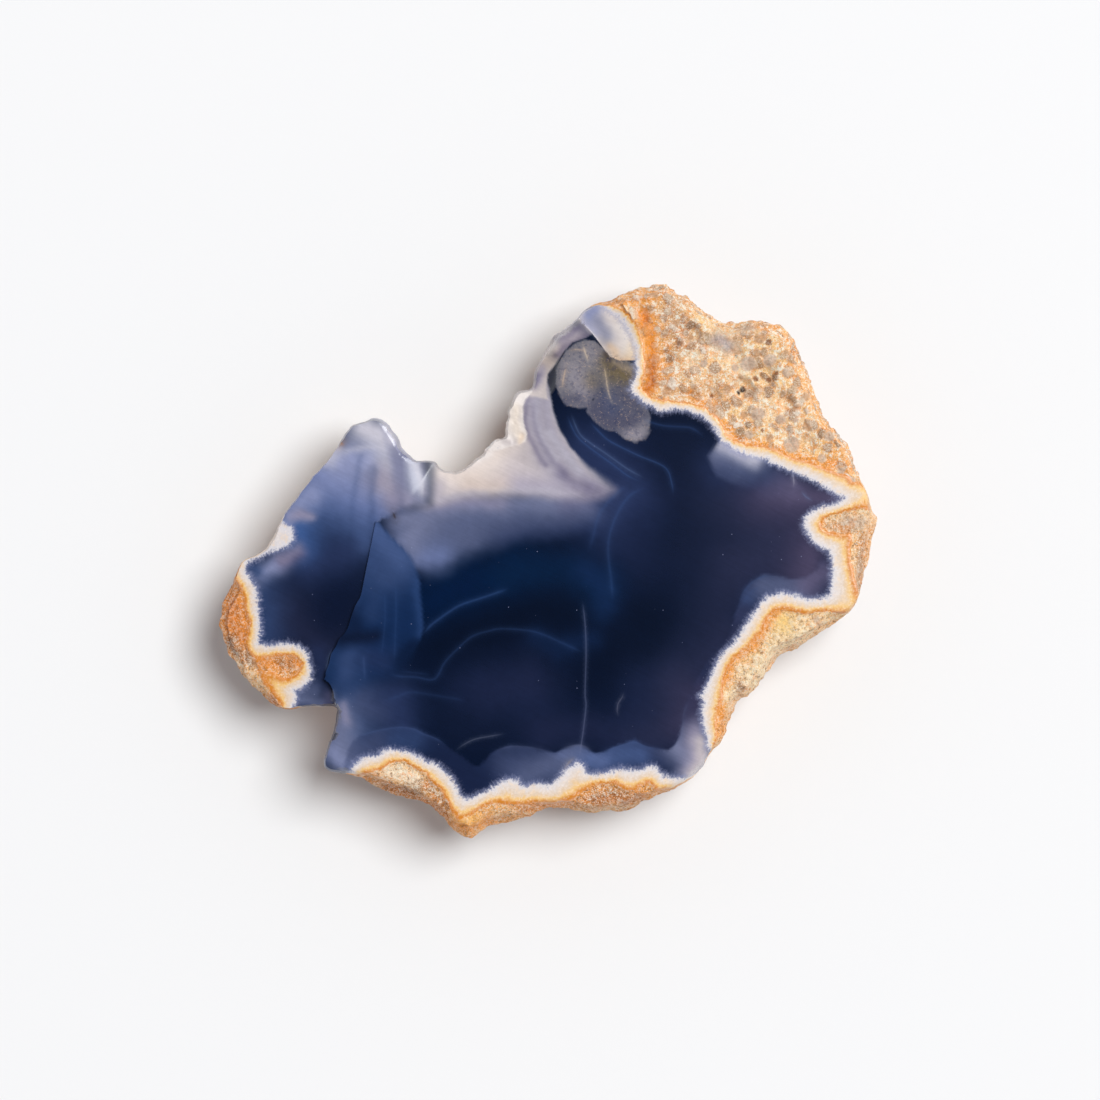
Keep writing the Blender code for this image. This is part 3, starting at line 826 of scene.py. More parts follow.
shoulderWashes = [
    ("mushroom", 1.0, 200, [(560, 350)]),
    ("storm", 0.55, 6, [(576, 326), (588, 338)]),
    ("grape", 0.6, 5, [(560, 343), (576, 332)]),
    ("wood", 0.4, 9, [(546, 366), (556, 358)]),
    ("heather", 0.6, 4, [(556, 358), (568, 347), (584, 339)]),
    ("lilac", 0.6, 5, [(540, 382), (543, 372)]),
    ("grape", 0.7, 4, [(535, 388), (538, 378)]),
    ("grape", 0.6, 4, [(552, 340), (570, 322)]),
]
mossLobes = [
    [
        (556, 372), (560, 362), (566, 353), (574, 346), (584, 342), (594, 344), (601, 350), (604, 362),
        (606, 380), (607, 396), (600, 404), (592, 400), (588, 410), (578, 411), (566, 408), (560, 400),
        (556, 388),
    ],
    [
        (590, 404), (604, 396), (602, 372), (600, 350), (612, 354), (626, 362), (638, 368), (634, 386),
        (636, 398), (646, 408), (650, 420), (649, 434), (644, 442), (634, 445), (624, 441), (616, 434),
        (606, 432), (596, 424), (586, 414),
    ],
]
mossWashes = [
    ("lichen", 0.92, 300, [(600, 390)]),
    ("moss", 0.9, 20, [(572, 372), (580, 392)]),
    ("moss", 0.8, 10, [(588, 352), (598, 362)]),
    ("fog", 0.5, 8, [(576, 380), (582, 398)]),
    ("olive", 0.8, 11, [(622, 374), (630, 386)]),
    ("wood", 0.55, 4, [(616, 366), (630, 371)]),
    ("olive", 0.6, 9, [(606, 366), (612, 380)]),
    ("olive", 0.4, 10, [(590, 384), (600, 392)]),
    ("ash", 0.95, 17, [(598, 410), (614, 420), (634, 424)]),
    ("slate", 0.5, 9, [(604, 396), (614, 408)]),
    ("moss", 0.8, 9, [(632, 440), (642, 430)]),
    ("fog", 0.5, 6, [(628, 436), (640, 438)]),
    ("ash", 0.6, 7, [(566, 404), (574, 402)]),
    ("ash", 0.7, 8, [(622, 396), (634, 404)]),
]
cornerWashes = [
    ("shell", 1.0, 200, [(610, 330)]),
    ("iris", 0.95, 9, [(590, 318), (596, 312)]),
    ("mist", 0.7, 11, [(600, 326), (606, 338)]),
    ("iris", 0.6, 7, [(586, 328), (592, 336)]),
    ("chalk", 0.8, 10, [(622, 332), (628, 346)]),
    ("cream", 0.6, 6, [(636, 345), (630, 358)]),
    ("sand", 0.5, 4, [(610, 350), (620, 361), (632, 362)]),
]
lavenderArea = [
    (724, 438), (716, 448), (709, 458), (716, 478), (740, 492), (790, 486), (780, 462), (745, 448),
]
lavenderWashes = [
    ("silver", 0.9, 9, [(724, 452), (738, 460), (752, 464)]),
    ("mist", 0.7, 12, [(716, 460), (735, 470)]),
    ("slate", 0.7, 12, [(720, 474), (760, 474)]),
    ("pearl", 0.75, 8, [(722, 446), (738, 455), (756, 462)]),
    ("lilac", 0.5, 5, [(726, 447), (745, 457)]),
]

# Thin lines in the blue: colour, strength, half width in pixels, spots along the line.
thinLines = [
    ("glint", 0.5, 0.8, [
        (570, 413), (579, 435), (590, 445), (602, 453), (616, 463), (629, 472), (646, 481),
    ]),
    ("lagoon", 0.7, 0.8, [(566, 415), (576, 437), (590, 450), (612, 466), (628, 478), (642, 484)]),
    ("lagoon", 0.75, 0.9, [
        (588, 422), (600, 435), (611, 444), (637, 457), (664, 469), (671, 484), (673, 500),
    ]),
    ("lagoon", 0.5, 1.6, [(646, 489), (629, 498), (615, 520), (608, 547), (611, 582), (613, 605)]),
    ("lagoon", 0.4, 2.0, [(629, 484), (602, 511), (593, 538), (588, 556)]),
    ("lagoon", 0.6, 1.1, [
        (640, 420), (652, 425), (665, 428), (680, 429), (690, 430), (700, 436), (704, 442),
    ]),
    ("lagoon", 0.8, 1.3, [
        (422, 639), (430, 628), (440, 620), (450, 613), (462, 606), (486, 598), (512, 589),
    ]),
    ("lagoon", 0.5, 1.2, [
        (388, 672), (398, 677), (416, 678), (435, 680), (445, 664), (455, 653), (472, 638), (490, 632),
        (504, 630), (535, 633), (562, 644), (585, 655),
    ]),
    ("lagoon", 0.3, 1.0, [(398, 672), (418, 674), (434, 676)]),
    ("denim", 0.5, 1.2, [(364, 652), (365, 666), (366, 684)]),
    ("lagoon", 0.35, 1.2, [(396, 582), (397, 610), (396, 640), (395, 668)]),
    ("lagoon", 0.3, 1.0, [(385, 590), (386, 620), (382, 660)]),
    ("lagoon", 0.3, 1.5, [(380, 703), (400, 697), (412, 693), (440, 697), (470, 702)]),
    ("denim", 0.55, 1.0, [
        (356, 738), (366, 735), (380, 731), (400, 728), (415, 730), (425, 735), (438, 740), (450, 749),
    ]),
    ("haze", 0.6, 1.0, [(492, 754), (500, 750), (512, 747), (530, 748), (545, 751), (556, 752)]),
    ("mist", 0.65, 1.2, [(558, 751), (571, 747), (580, 746), (588, 749), (595, 754)]),
    ("denim", 0.6, 1.0, [
        (596, 753), (612, 749), (625, 745), (635, 743), (645, 747), (655, 749), (668, 749),
    ]),
    ("haze", 0.4, 1.2, [(668, 749), (678, 742), (682, 730), (683, 715), (690, 698)]),
    ("steel", 0.7, 1.0, [(737, 606), (740, 598), (745, 590), (752, 583), (762, 578), (776, 578)]),
    ("steel", 0.4, 1.0, [(741, 612), (745, 600), (752, 592), (762, 587)]),
    ("mist", 0.75, 0.7, [
        (582, 600), (585, 625), (586, 654), (585, 694), (586, 705), (584, 725), (582, 740), (579, 759),
    ]),
    ("wood", 0.85, 1.3, [(578, 756), (570, 762), (566, 768), (563, 776), (558, 781), (550, 786)]),
    ("pearl", 0.4, 0.6, [(508, 734), (490, 737), (475, 740), (463, 746), (454, 753)]),
    ("fog", 0.6, 0.6, [(624, 691), (622, 698), (618, 704), (617, 712), (619, 719)]),
    ("coal", 0.95, 0.9, [(394, 513), (395, 517), (397, 522)]),
    ("pearl", 0.7, 0.7, [(791, 469), (792, 478), (793, 486), (791, 490)]),
    ("glint", 0.6, 0.7, [(800, 492), (804, 498), (812, 503)]),
    ("cream", 0.8, 0.8, [(603, 364), (605, 374), (607, 388), (610, 400), (614, 411)]),
    ("cream", 0.8, 0.7, [(582, 345), (584, 350), (585, 355), (587, 360), (588, 367)]),
    ("sand", 0.7, 0.7, [(567, 366), (565, 374), (563, 384), (562, 393)]),
    ("sand", 0.5, 0.7, [(567, 354), (576, 352), (583, 353), (588, 356)]),
    ("chalk", 0.9, 0.7, [(582, 324), (587, 330), (592, 335), (597, 341), (600, 346)]),
    # dark crack along the corner facet's edge, with the step's painted shadow in it
    ("coal", 0.7, 2.2, [(602, 351), (605, 356), (609, 362), (614, 365)]),
    # painted highlights along the ledge's chipped edge
    ("glint", 0.75, 0.6, [(334, 648), (330, 657), (328, 666), (325, 676)]),
    ("chalk", 0.8, 0.8, [(334, 689), (334, 697), (335, 706)]),
    ("rust", 0.7, 1.2, [(340, 448), (344, 443)]),
]

# Tints of the host rock and the rind: colour, strength, plainness (1 has no grains), radius, spots.
rockWashes = [
    ("honey", 0.95, 0.0, 80, [(236, 600), (250, 680)]),
    ("honey", 0.9, 0.0, 42, [(350, 785), (450, 830), (560, 815), (660, 800)]),
    ("amber", 1.0, 0.9, 9, [(644, 318), (652, 345), (654, 372), (648, 392)]),
    ("rust", 0.9, 0.9, 6, [(654, 362), (651, 384), (646, 394)]),
    ("amber", 0.8, 0.4, 7, [(605, 307), (630, 302), (655, 299)]),
    ("amber", 0.5, 0.2, 10, [(660, 320), (668, 350), (664, 380)]),
    ("orange", 0.5, 0.0, 8, [(660, 292), (672, 298)]),
    ("tan", 0.75, 0.0, 18, [(672, 312), (680, 335), (682, 352)]),
    ("cream", 0.6, 0.0, 12, [(700, 345), (690, 365)]),
    ("straw", 0.5, 0.0, 12, [(700, 322), (715, 335)]),
    ("dove", 0.95, 0.9, 10, [(716, 340), (728, 348)]),
    ("fog", 0.5, 0.9, 7, [(718, 342), (726, 350)]),
    ("dove", 0.9, 0.9, 6, [(744, 330), (752, 330)]),
    ("cream", 0.6, 0.5, 9, [(738, 368), (742, 380)]),
    ("orange", 0.6, 0.0, 6, [(760, 328), (778, 333), (790, 346), (794, 358)]),
    ("amber", 0.45, 0.2, 10, [(790, 372), (812, 402), (824, 428), (845, 462)]),
    ("tan", 0.45, 0.0, 16, [(670, 392), (720, 390)]),
    ("sand", 0.5, 0.0, 20, [(760, 405), (800, 430)]),
    ("amber", 0.8, 0.4, 5, [(690, 394), (706, 408), (722, 426), (735, 441), (780, 452), (830, 470)]),
    ("amber", 0.7, 0.3, 6, [(820, 462), (848, 470)]),
    ("amber", 1.0, 0.4, 20, [(238, 596), (236, 620), (242, 640)]),
    ("rust", 0.7, 0.5, 9, [(234, 602), (232, 622), (238, 636)]),
    ("orange", 0.7, 0.3, 6, [(238, 590), (248, 604)]),
    ("umber", 0.9, 0.0, 6, [(230, 642), (240, 656), (258, 668)]),
    ("rust", 0.8, 0.0, 5, [(246, 672), (262, 688), (276, 702)]),
    ("amber", 0.95, 0.5, 9, [(266, 665), (285, 666), (300, 664)]),
    ("umber", 0.5, 0.0, 6, [(282, 662), (290, 668)]),
    ("sand", 0.8, 0.0, 11, [(240, 668), (256, 686)]),
    ("wheat", 0.8, 0.2, 7, [(250, 676), (264, 690)]),
    ("flour", 0.7, 0.0, 11, [(382, 778), (400, 772), (418, 784)]),
    ("umber", 0.55, 0.0, 7, [(385, 788), (412, 792), (430, 788), (446, 806)]),
    ("rust", 0.6, 0.0, 6, [(372, 780), (400, 792), (428, 806), (448, 818)]),
    ("straw", 0.9, 0.7, 12, [(462, 822), (476, 826)]),
    ("amber", 0.8, 0.5, 8, [(455, 826), (470, 830), (490, 822)]),
    ("sand", 0.5, 0.0, 10, [(500, 812), (525, 812)]),
    ("flour", 0.6, 0.0, 6, [(560, 812), (600, 810), (636, 806)]),
    ("amber", 0.85, 0.0, 9, [(520, 808), (545, 805), (570, 806)]),
    ("umber", 0.65, 0.0, 8, [(595, 800), (612, 795), (628, 802)]),
    ("rust", 0.6, 0.0, 7, [(585, 804), (640, 800)]),
    ("dove", 0.85, 0.6, 8, [(845, 524), (862, 526)]),
    ("tan", 0.8, 0.2, 6, [(830, 528), (845, 532)]),
    ("umber", 0.6, 0.0, 6, [(862, 540), (858, 560), (860, 586)]),
    ("orange", 0.6, 0.0, 6, [(868, 532), (864, 560)]),
    # painted light where the lower right rind slopes towards the light
    ("cream", 0.6, 0.2, 20, [(800, 640), (760, 670), (735, 690)]),
    ("amber", 0.8, 0.4, 6, [(720, 705), (722, 735)]),
    ("amber", 0.8, 0.3, 6, [(775, 612), (750, 648), (732, 664), (725, 684)]),
    ("straw", 0.95, 0.9, 10, [(781, 624)]),
    ("umber", 0.6, 0.0, 4, [(740, 684), (742, 690)]),
    ("dove", 0.8, 0.9, 4, [(817, 621)]),
]

# Grains and pits in the host rock, one by one: colour, radius in pixels, spot.
rockGrains = [
    ("coal", 3.0, (743, 391)), ("coal", 2.0, (739, 394)), ("umber", 3.0, (755, 381)),
    ("umber", 3.2, (768, 382)), ("umber", 2.2, (775, 376)), ("umber", 2.5, (712, 399)),
    ("coal", 1.4, (735, 358)), ("tan", 6.0, (760, 341)), ("umber", 3.0, (768, 345)),
    ("tan", 4.5, (756, 355)), ("dove", 8.0, (748, 366)), ("dove", 7.0, (768, 362)),
    ("dove", 7.0, (757, 416)), ("tan", 4.0, (743, 417)), ("tan", 5.0, (727, 392)),
    ("dove", 8.5, (791, 447)), ("dove", 5.5, (828, 438)), ("dove", 5.0, (821, 461)),
    ("tan", 4.5, (806, 429)), ("tan", 4.5, (805, 399)), ("tan", 4.0, (769, 440)), ("dove", 4.5, (785, 375)),
    ("tan", 4.0, (796, 410)), ("dove", 4.0, (840, 473)), ("tan", 5.0, (666, 394)),
    ("dove", 4.0, (704, 366)), ("tan", 3.5, (654, 297)), ("umber", 3.0, (679, 346)),
    ("dove", 4.0, (735, 370)), ("tan", 3.5, (690, 340)), ("dove", 5.0, (780, 422)),
    ("tan", 3.5, (675, 326)), ("tan", 3.5, (694, 390)), ("dove", 4.5, (748, 437)),
    ("umber", 2.0, (762, 433)), ("tan", 3.5, (785, 356)),
]


def paletteColour(name):
    return np.array(palette[name], dtype=float)


def layColour(coat, mask, name):
    coat += mask[:, None] * (paletteColour(name) - coat)


def layWashes(coat, x, y, zone, washes):
    for name, strength, radius, spots in washes:
        gap = lineDistance(x, y, spots) / radius
        layColour(coat, zone * strength * np.exp(-gap * gap), name)


# Places shifted by two sizes of noise, so that painted borders wander.
def drifted(px, py, sizes, amounts, seed):
    points = np.column_stack([px, py, np.zeros(len(px))])
    shifts = [amounts[index % 2] * grain(points, sizes[index % 2], seed + index) for index in range(4)]
    return px + shifts[0] + shifts[1], py + shifts[2] + shifts[3]


# The blue stone's colours at places given in picture pixels.
def paintBlue(px, py):
    driftX, driftY = drifted(px, py, (34.0, 9.0), (5.0, 1.6), 21)
    coat = np.tile(paletteColour("deep"), (len(px), 1))
    layWashes(coat, driftX, driftY, np.ones(len(px)), faceWashes)
    wedgeFade = 2.0 + 12.0 * smoothStep(py, 640.0, 680.0)
    neckFade = 1.6 + 7.4 * smoothStep(py, 450.0, 495.0)
    lobeFade = 0.5 + 7.0 * smoothStep(px, 385.0, 405.0)
    # Each zone's area, how soft its border is and how far it wanders, and its washes.
    zones = [
        (hazeArea, 14, 1.0, hazeWashes),
        (wedgeArea, wedgeFade, 0.3, wedgeWashes),
        (echoArea, 1.6, 0.5, echoWashes),
        (lavenderArea, 3.0, 0.5, lavenderWashes),
        (mossLobes[0], 0.8, 0.3, mossWashes),
        (mossLobes[1], 0.8, 0.3, mossWashes),
        (neckArea, neckFade, 0.5, neckWashes),
        (shoulderArea, 1.2, 0.0, shoulderWashes),
        (crustArea, 1.0, 0.6, crustWashes),
        (lobeArea, lobeFade, 0.0, lobeWashes),
        (lobeFlank, 6.0, 0.6, lobeFlankWashes),
        (cornerFacet, 0.5, 0.0, cornerWashes),
    ]
    for area, softness, wander, washes in zones:
        gap = insideDistance(px + (driftX - px) * wander, py + (driftY - py) * wander, area)
        layWashes(coat, driftX, driftY, smoothStep(gap, -softness, softness), washes)
    for name, strength, width, spots in thinLines:
        pathX, pathY = smoothPath(spots, 3.0)
        gap = lineDistance(px, py, list(zip(pathX, pathY))) / width
        toEnd = np.minimum(np.hypot(px - pathX[0], py - pathY[0]), np.hypot(px - pathX[-1], py - pathY[-1]))
        fade = min(16.0, 0.35 * math.hypot(pathX[-1] - pathX[0], pathY[-1] - pathY[0]))
        coreAndGlow = 0.45 * np.exp(-gap * gap) + 0.20 * np.exp(-gap * gap / 12.0)
        layColour(coat, smoothStep(toEnd, 0.0, fade) * strength * coreAndGlow, name)
    return coat


def paintRock(px, py):
    driftX, driftY = drifted(px, py, (14.0, 5.0), (3.0, 1.5), 31)
    coat = np.tile(paletteColour("wheat"), (len(px), 1))
    plain = np.zeros(len(px))
    for name, strength, plainness, radius, spots in rockWashes:
        gap = lineDistance(driftX, driftY, spots) / radius
        mask = strength * np.exp(-gap * gap)
        layColour(coat, mask, name)
        plain += mask * (plainness - plain)
    for name, radius, spot in rockGrains:
        gap = np.hypot(px + (driftX - px) * 0.5 - spot[0], py + (driftY - py) * 0.5 - spot[1])
        mask = 0.9 * smoothStep(gap, radius * 1.15, radius * 0.8)
        layColour(coat, mask, name)
        plain += mask * (0.85 - plain)
    return coat, plain


print("stone: markings are ready")


# How much of its bulge the wall has: the blue breaks almost upright, the rind is round.
def bulgeShare(rock, level):
    return 1.0 - (1.0 - stoneForm["blueBulge"]) * (1.0 - rock) * level ** 2


def raisedGrain(depth):
    return smoothStep(depth, -0.10 * mm, 0.20 * mm)


# A closed outline of the stone, moved inward or outward as its wall bulges at a given level.
def wallLoop(base, level):
    x, y, outX, outY, rock = base
    height = np.full(len(x), level * stoneForm["blankHeight"])
    points = np.column_stack([x, y, height])
    lumps = lumpsAt(points)
    rough = roughGrain(points, 1.1 * mm, 12)
    bulge = stoneForm["wallBulge"] * (math.sin(math.pi * level) - 0.75) * bulgeShare(rock, level)
    (lumpy, lumpyRock), (coarse, coarseRock) = stoneForm["wallLumps"], stoneForm["wallRoughness"]
    bulge = bulge + (lumpy + lumpyRock * rock) * lumps + (coarse + coarseRock * rock) * rough
    points = np.column_stack([x + outX * bulge, y + outY * bulge, height])
    depths, tones = grainsAt(points, depthIn(x, y, rockAreas[0]) > 0)
    bulge = bulge + stoneForm["grainRise"] * rock * (raisedGrain(depths) - 0.5)
    return x + outX * bulge, y + outY * bulge, depths, tones


def baseOutline():
    x, y = smoothPath(places(stoneOutline), stoneForm["edgeSpacing"], closed=True)
    reach = 4
    runX = np.roll(x, -reach) - np.roll(x, reach)
    runY = np.roll(y, -reach) - np.roll(y, reach)
    length = np.hypot(runX, runY)
    outX = -runY / length
    outY = runX / length
    flat = np.column_stack([x, y, np.zeros(len(x))])
    crumbSpot, crumbReach = stoneForm["crumblyEdge"]
    crumbly = np.exp(-(gapTo(x, y, crumbSpot) / (crumbReach * pixel)) ** 2)
    plainly, crumbling = stoneForm["raggedness"]
    ragged = (plainly + crumbling * crumbly) * roughGrain(flat, 1.5 * mm, 11)
    x = x + outX * ragged
    y = y + outY * ragged
    return x, y, outX, outY, smoothStep(rockDistance(x, y), *stoneForm["rockBorder"])


def treeOf(spots):
    tree = kdtree.KDTree(len(spots))
    for index, spot in enumerate(spots):
        tree.insert((spot[0], spot[1], 0.0), index)
    tree.balance()
    return tree


# Distance inward from the outline, before its wall was shaped.
def depthInside(x, y, base, level):
    edgeX, edgeY = base[0], base[1]
    count = len(edgeX)
    tree = treeOf(list(zip(edgeX, edgeY)))
    nearest = np.array([tree.find((a, b, 0.0))[1] for a, b in zip(x, y)])
    gap = np.full(x.shape, np.inf)
    for shift in (-1, 0):
        start = (nearest + shift) % count
        end = (start + 1) % count
        runX = edgeX[end] - edgeX[start]
        runY = edgeY[end] - edgeY[start]
        along = ((x - edgeX[start]) * runX + (y - edgeY[start]) * runY) / (runX ** 2 + runY ** 2)
        along = np.clip(along, 0.0, 1.0)
        gap = np.minimum(gap, np.hypot(x - edgeX[start] - along * runX, y - edgeY[start] - along * runY))
    inward = gap
    push = 0.75 * stoneForm["wallBulge"] * bulgeShare(base[4][nearest], level)
    for step in range(8):
        inward = np.maximum(gap - push * np.exp(-inward / stoneForm["wallReach"]), 0.0)
    return inward


# Joins the places of one sheet into triangles that keep to its edge and its break lines.
def triangulate(edgeX, edgeY, gridX, gridY, lines):
    spots = list(zip(edgeX, edgeY))
    count = len(spots)
    edges = [(index, (index + 1) % count) for index in range(count)]
    for line in lines:
        deep = depthIn(line[:, 0], line[:, 1], stoneOutline) > stoneForm["lineMargin"]
        previous = None
        for spot, kept in zip(line, deep):
            if not kept:
                previous = None
                continue
            spots.append(tuple(spot))
            if previous is not None:
                edges.append((previous, len(spots) - 1))
            previous = len(spots) - 1
    spots.extend(zip(gridX, gridY))
    made = delaunay_2d_cdt([Vector(spot) for spot in spots], edges, [], 1, 1e-6)
    x = np.array([spot[0] for spot in made[0]])
    y = np.array([spot[1] for spot in made[0]])
    rimPlaces = np.full(count, -1)
    for new, olds in enumerate(made[3]):
        for old in olds:
            if old < count:
                rimPlaces[old] = new
    return x, y, np.array(made[2]), rimPlaces


def makeSheet(spacing, edgeX, edgeY, fineWhere, lines):
    gridX, gridY, coarse = hexGrid(spacing)
    keep = depthIn(gridX, gridY, stoneOutline) > stoneForm["gridMargin"]
    gridX, gridY, coarse = gridX[keep], gridY[keep], coarse[keep]
    if fineWhere is not None:
        keep = coarse | fineWhere(gridX, gridY)
        gridX, gridY = gridX[keep], gridY[keep]
    near = depthIn(gridX, gridY, stoneOutline) < stoneForm["edgeZone"]
    edgeGap = np.full(gridX.shape, 1.0)
    edgeGap[near] = insideDistance(gridX[near], gridY[near], list(zip(edgeX, edgeY)))
    keep = edgeGap > spacing * stoneForm["edgeClear"]
    gridX, gridY = gridX[keep], gridY[keep]
    if lines:
        tree = treeOf(np.vstack(lines))
        gap = np.array([tree.find((a, b, 0.0))[2] for a, b in zip(gridX, gridY)])
        keep = gap > spacing * stoneForm["lineClear"]
        gridX, gridY = gridX[keep], gridY[keep]
    return triangulate(edgeX, edgeY, gridX, gridY, lines)


def crispLines():
    breakGap = stoneForm["breakGap"]
    lines = []
    for line in (ledgeLine, cornerLine):
        lines += besideLine(line, (-breakGap, breakGap))
    lines += besideLine(ribRidge, (0.0,))
    for name, strength, width, spots in thinLines:
        side = width * 1.25 * pixel
        lines += besideLine(spots, (-side, 0.0, side))
    return lines


# How well each place took the polish: the sawn face most, the breaks less.
def polishOf(px, py):
    shine = np.full(len(px), 1.0)
    for area, share in ((lobeArea, 0.8), (neckArea, 0.6), (cornerFacet, 0.6), (crustArea, 0.2)):
        shine = np.where(insideDistance(px, py, area) > 0, share, shine)
    return shine


def makeMesh(name, spots, faces, attributes, colours):
    mesh = bpy.data.meshes.new(name)
    mesh.from_pydata(spots.tolist(), [], faces.tolist())
    for layerName, values in attributes.items():
        layer = mesh.attributes.new(layerName, "FLOAT", "POINT")
        layer.data.foreach_set("value", values.astype(np.float32))
    for layerName, (values, lit, alpha) in colours.items():
        layer = mesh.attributes.new(layerName, "FLOAT_COLOR", "POINT")
        tints = np.column_stack([paint(np.clip(values, 0, 255), lit), alpha])
        layer.data.foreach_set("color", tints.astype(np.float32).ravel())
    tidy = bmesh.new()
    tidy.from_mesh(mesh)
    bmesh.ops.recalc_face_normals(tidy, faces=tidy.faces)
    tidy.to_mesh(mesh)
    tidy.free()
    for face in mesh.polygons:
        face.use_smooth = True
    mesh.set_sharp_from_angle(angle=stoneForm["sharpAngle"])
    return mesh


# Heights of the upper side, with its worn rock, raised grains and crumbly crust.
def shapeUpperSide(base, x, y, rim):
    form = stoneForm
    depth = depthInside(x, y, base, 1.0)
    depth[rim] = 0.0
    host = smoothStep(depthIn(x, y, rockAreas[0]), *form["rockBorder"])
    rock = rockDistance(x, y)
    points = np.column_stack([x, y, np.full(len(x), form["blankHeight"])])
    grains, tones = grainsAt(points, host > 0.02)
    worn = smoothStep(rock, -0.2 * mm, 0.5 * mm)
    crust = smoothStep(insideDistance(*onPicture(x, y), crustArea), -4.0, 6.0) * (1.0 - worn)
    z = upperHeight(x, y, depth, host, lumpsAt(points))
    z += worn * form["rockRoughness"] * (roughGrain(points, 1.0 * mm, 13) - 0.8)
    z += worn * form["grainRise"] * (raisedGrain(grains) - 1.0)
    z += crust * form["crustRoughness"] * (roughGrain(points, 0.8 * mm, 15) - 0.8)
    return np.minimum(z, form["faceHeight"]), host, rock, grains, tones


def shapeBelly(base, x, y, rim):
    depth = depthInside(x, y, base, 0.0)
    depth[rim] = 0.0
    points = np.column_stack([x, y, np.zeros(len(x))])
    z = lowerHeight(x, y, depth, lumpsAt(points))
    off = smoothStep(z, 0.0, 0.6 * mm)
    return np.maximum(z + off * stoneForm["bellyRoughness"] * roughGrain(points, 1.6 * mm, 14, 4), 0.0)


# The wall: rows of places from the upper side's edge down to the belly's.
def shapeWall(base, topZ, lowZ):
    rows = []
    for row in range(1, stoneForm["wallRows"]):
        level = 1.0 - row / stoneForm["wallRows"]
        x, y, grains, tones = wallLoop(base, level)
        rows.append((x, y, lowZ + (topZ - lowZ) * level, np.full(len(x), level), grains, tones))
    return [np.concatenate(parts) for parts in zip(*rows)]


def wallFaces(rings):
    faces = []
    for above, below in zip(rings[:-1], rings[1:]):
        nextBelow = np.roll(below, -1)
        faces.append(np.column_stack([above, below, nextBelow]))
        faces.append(np.column_stack([above, nextBelow, np.roll(above, -1)]))
    return np.vstack(faces)


# Values along the upper side's edge, repeated for each row of the wall.
def downTheWall(edgeValues):
    return np.concatenate([edgeValues] * (stoneForm["wallRows"] - 1))


# How deep the wall's places lie in blue and in rock, in millimetres: the blue runs down the broken
# walls until the rind takes over near the belly.
def wallBorders(points, level, fall, blueEdge, rockEdge):
    form = stoneForm
    blueTop = downTheWall(blueEdge)
    skin = (level - form["rindLevel"] + 0.22 * grain(points, 4.0 * mm, 41)) * form["rindSteepness"]
    blue = np.where(blueTop > 0, np.minimum(blueTop * 2.5 - fall, skin), blueTop - fall)
    rock = downTheWall(rockEdge) + fall * 0.8
    rock = np.where(blueTop > 0, np.maximum(-skin - 1.6, rock), rock)
    return blue, np.minimum(rock, 4.0)


# The wall's blue takes its colour from the edge above it, and blurs as it goes down.
def paintWall(points, fall, edgeColour):
    blur = stoneForm["wallBlur"]
    blurred = np.mean([np.roll(edgeColour, shift, axis=0) for shift in range(-blur, blur + 1)], axis=0)
    softened = smoothStep(fall, 0.3, 3.0)[:, None] * 0.8
    colour = downTheWall(edgeColour) * (1.0 - softened) + downTheWall(blurred) * softened
    colour *= 1.0 + 0.22 * grain(points, 3.0 * mm, 44)[:, None]
    rockColour, plain = paintRock(*onPicture(points[:, 0], points[:, 1]))
    deeper = smoothStep(fall, 0.5, 3.5)[:, None]
    patch = grain(points, 5.0 * mm, 42)[:, None]
    rindColour = paletteColour("ochre")
    rindColour = rindColour + patch * (paletteColour("orange") - rindColour) * 0.8
    return colour, rockColour + deeper * 0.35 * (rindColour - rockColour), plain * 0.5


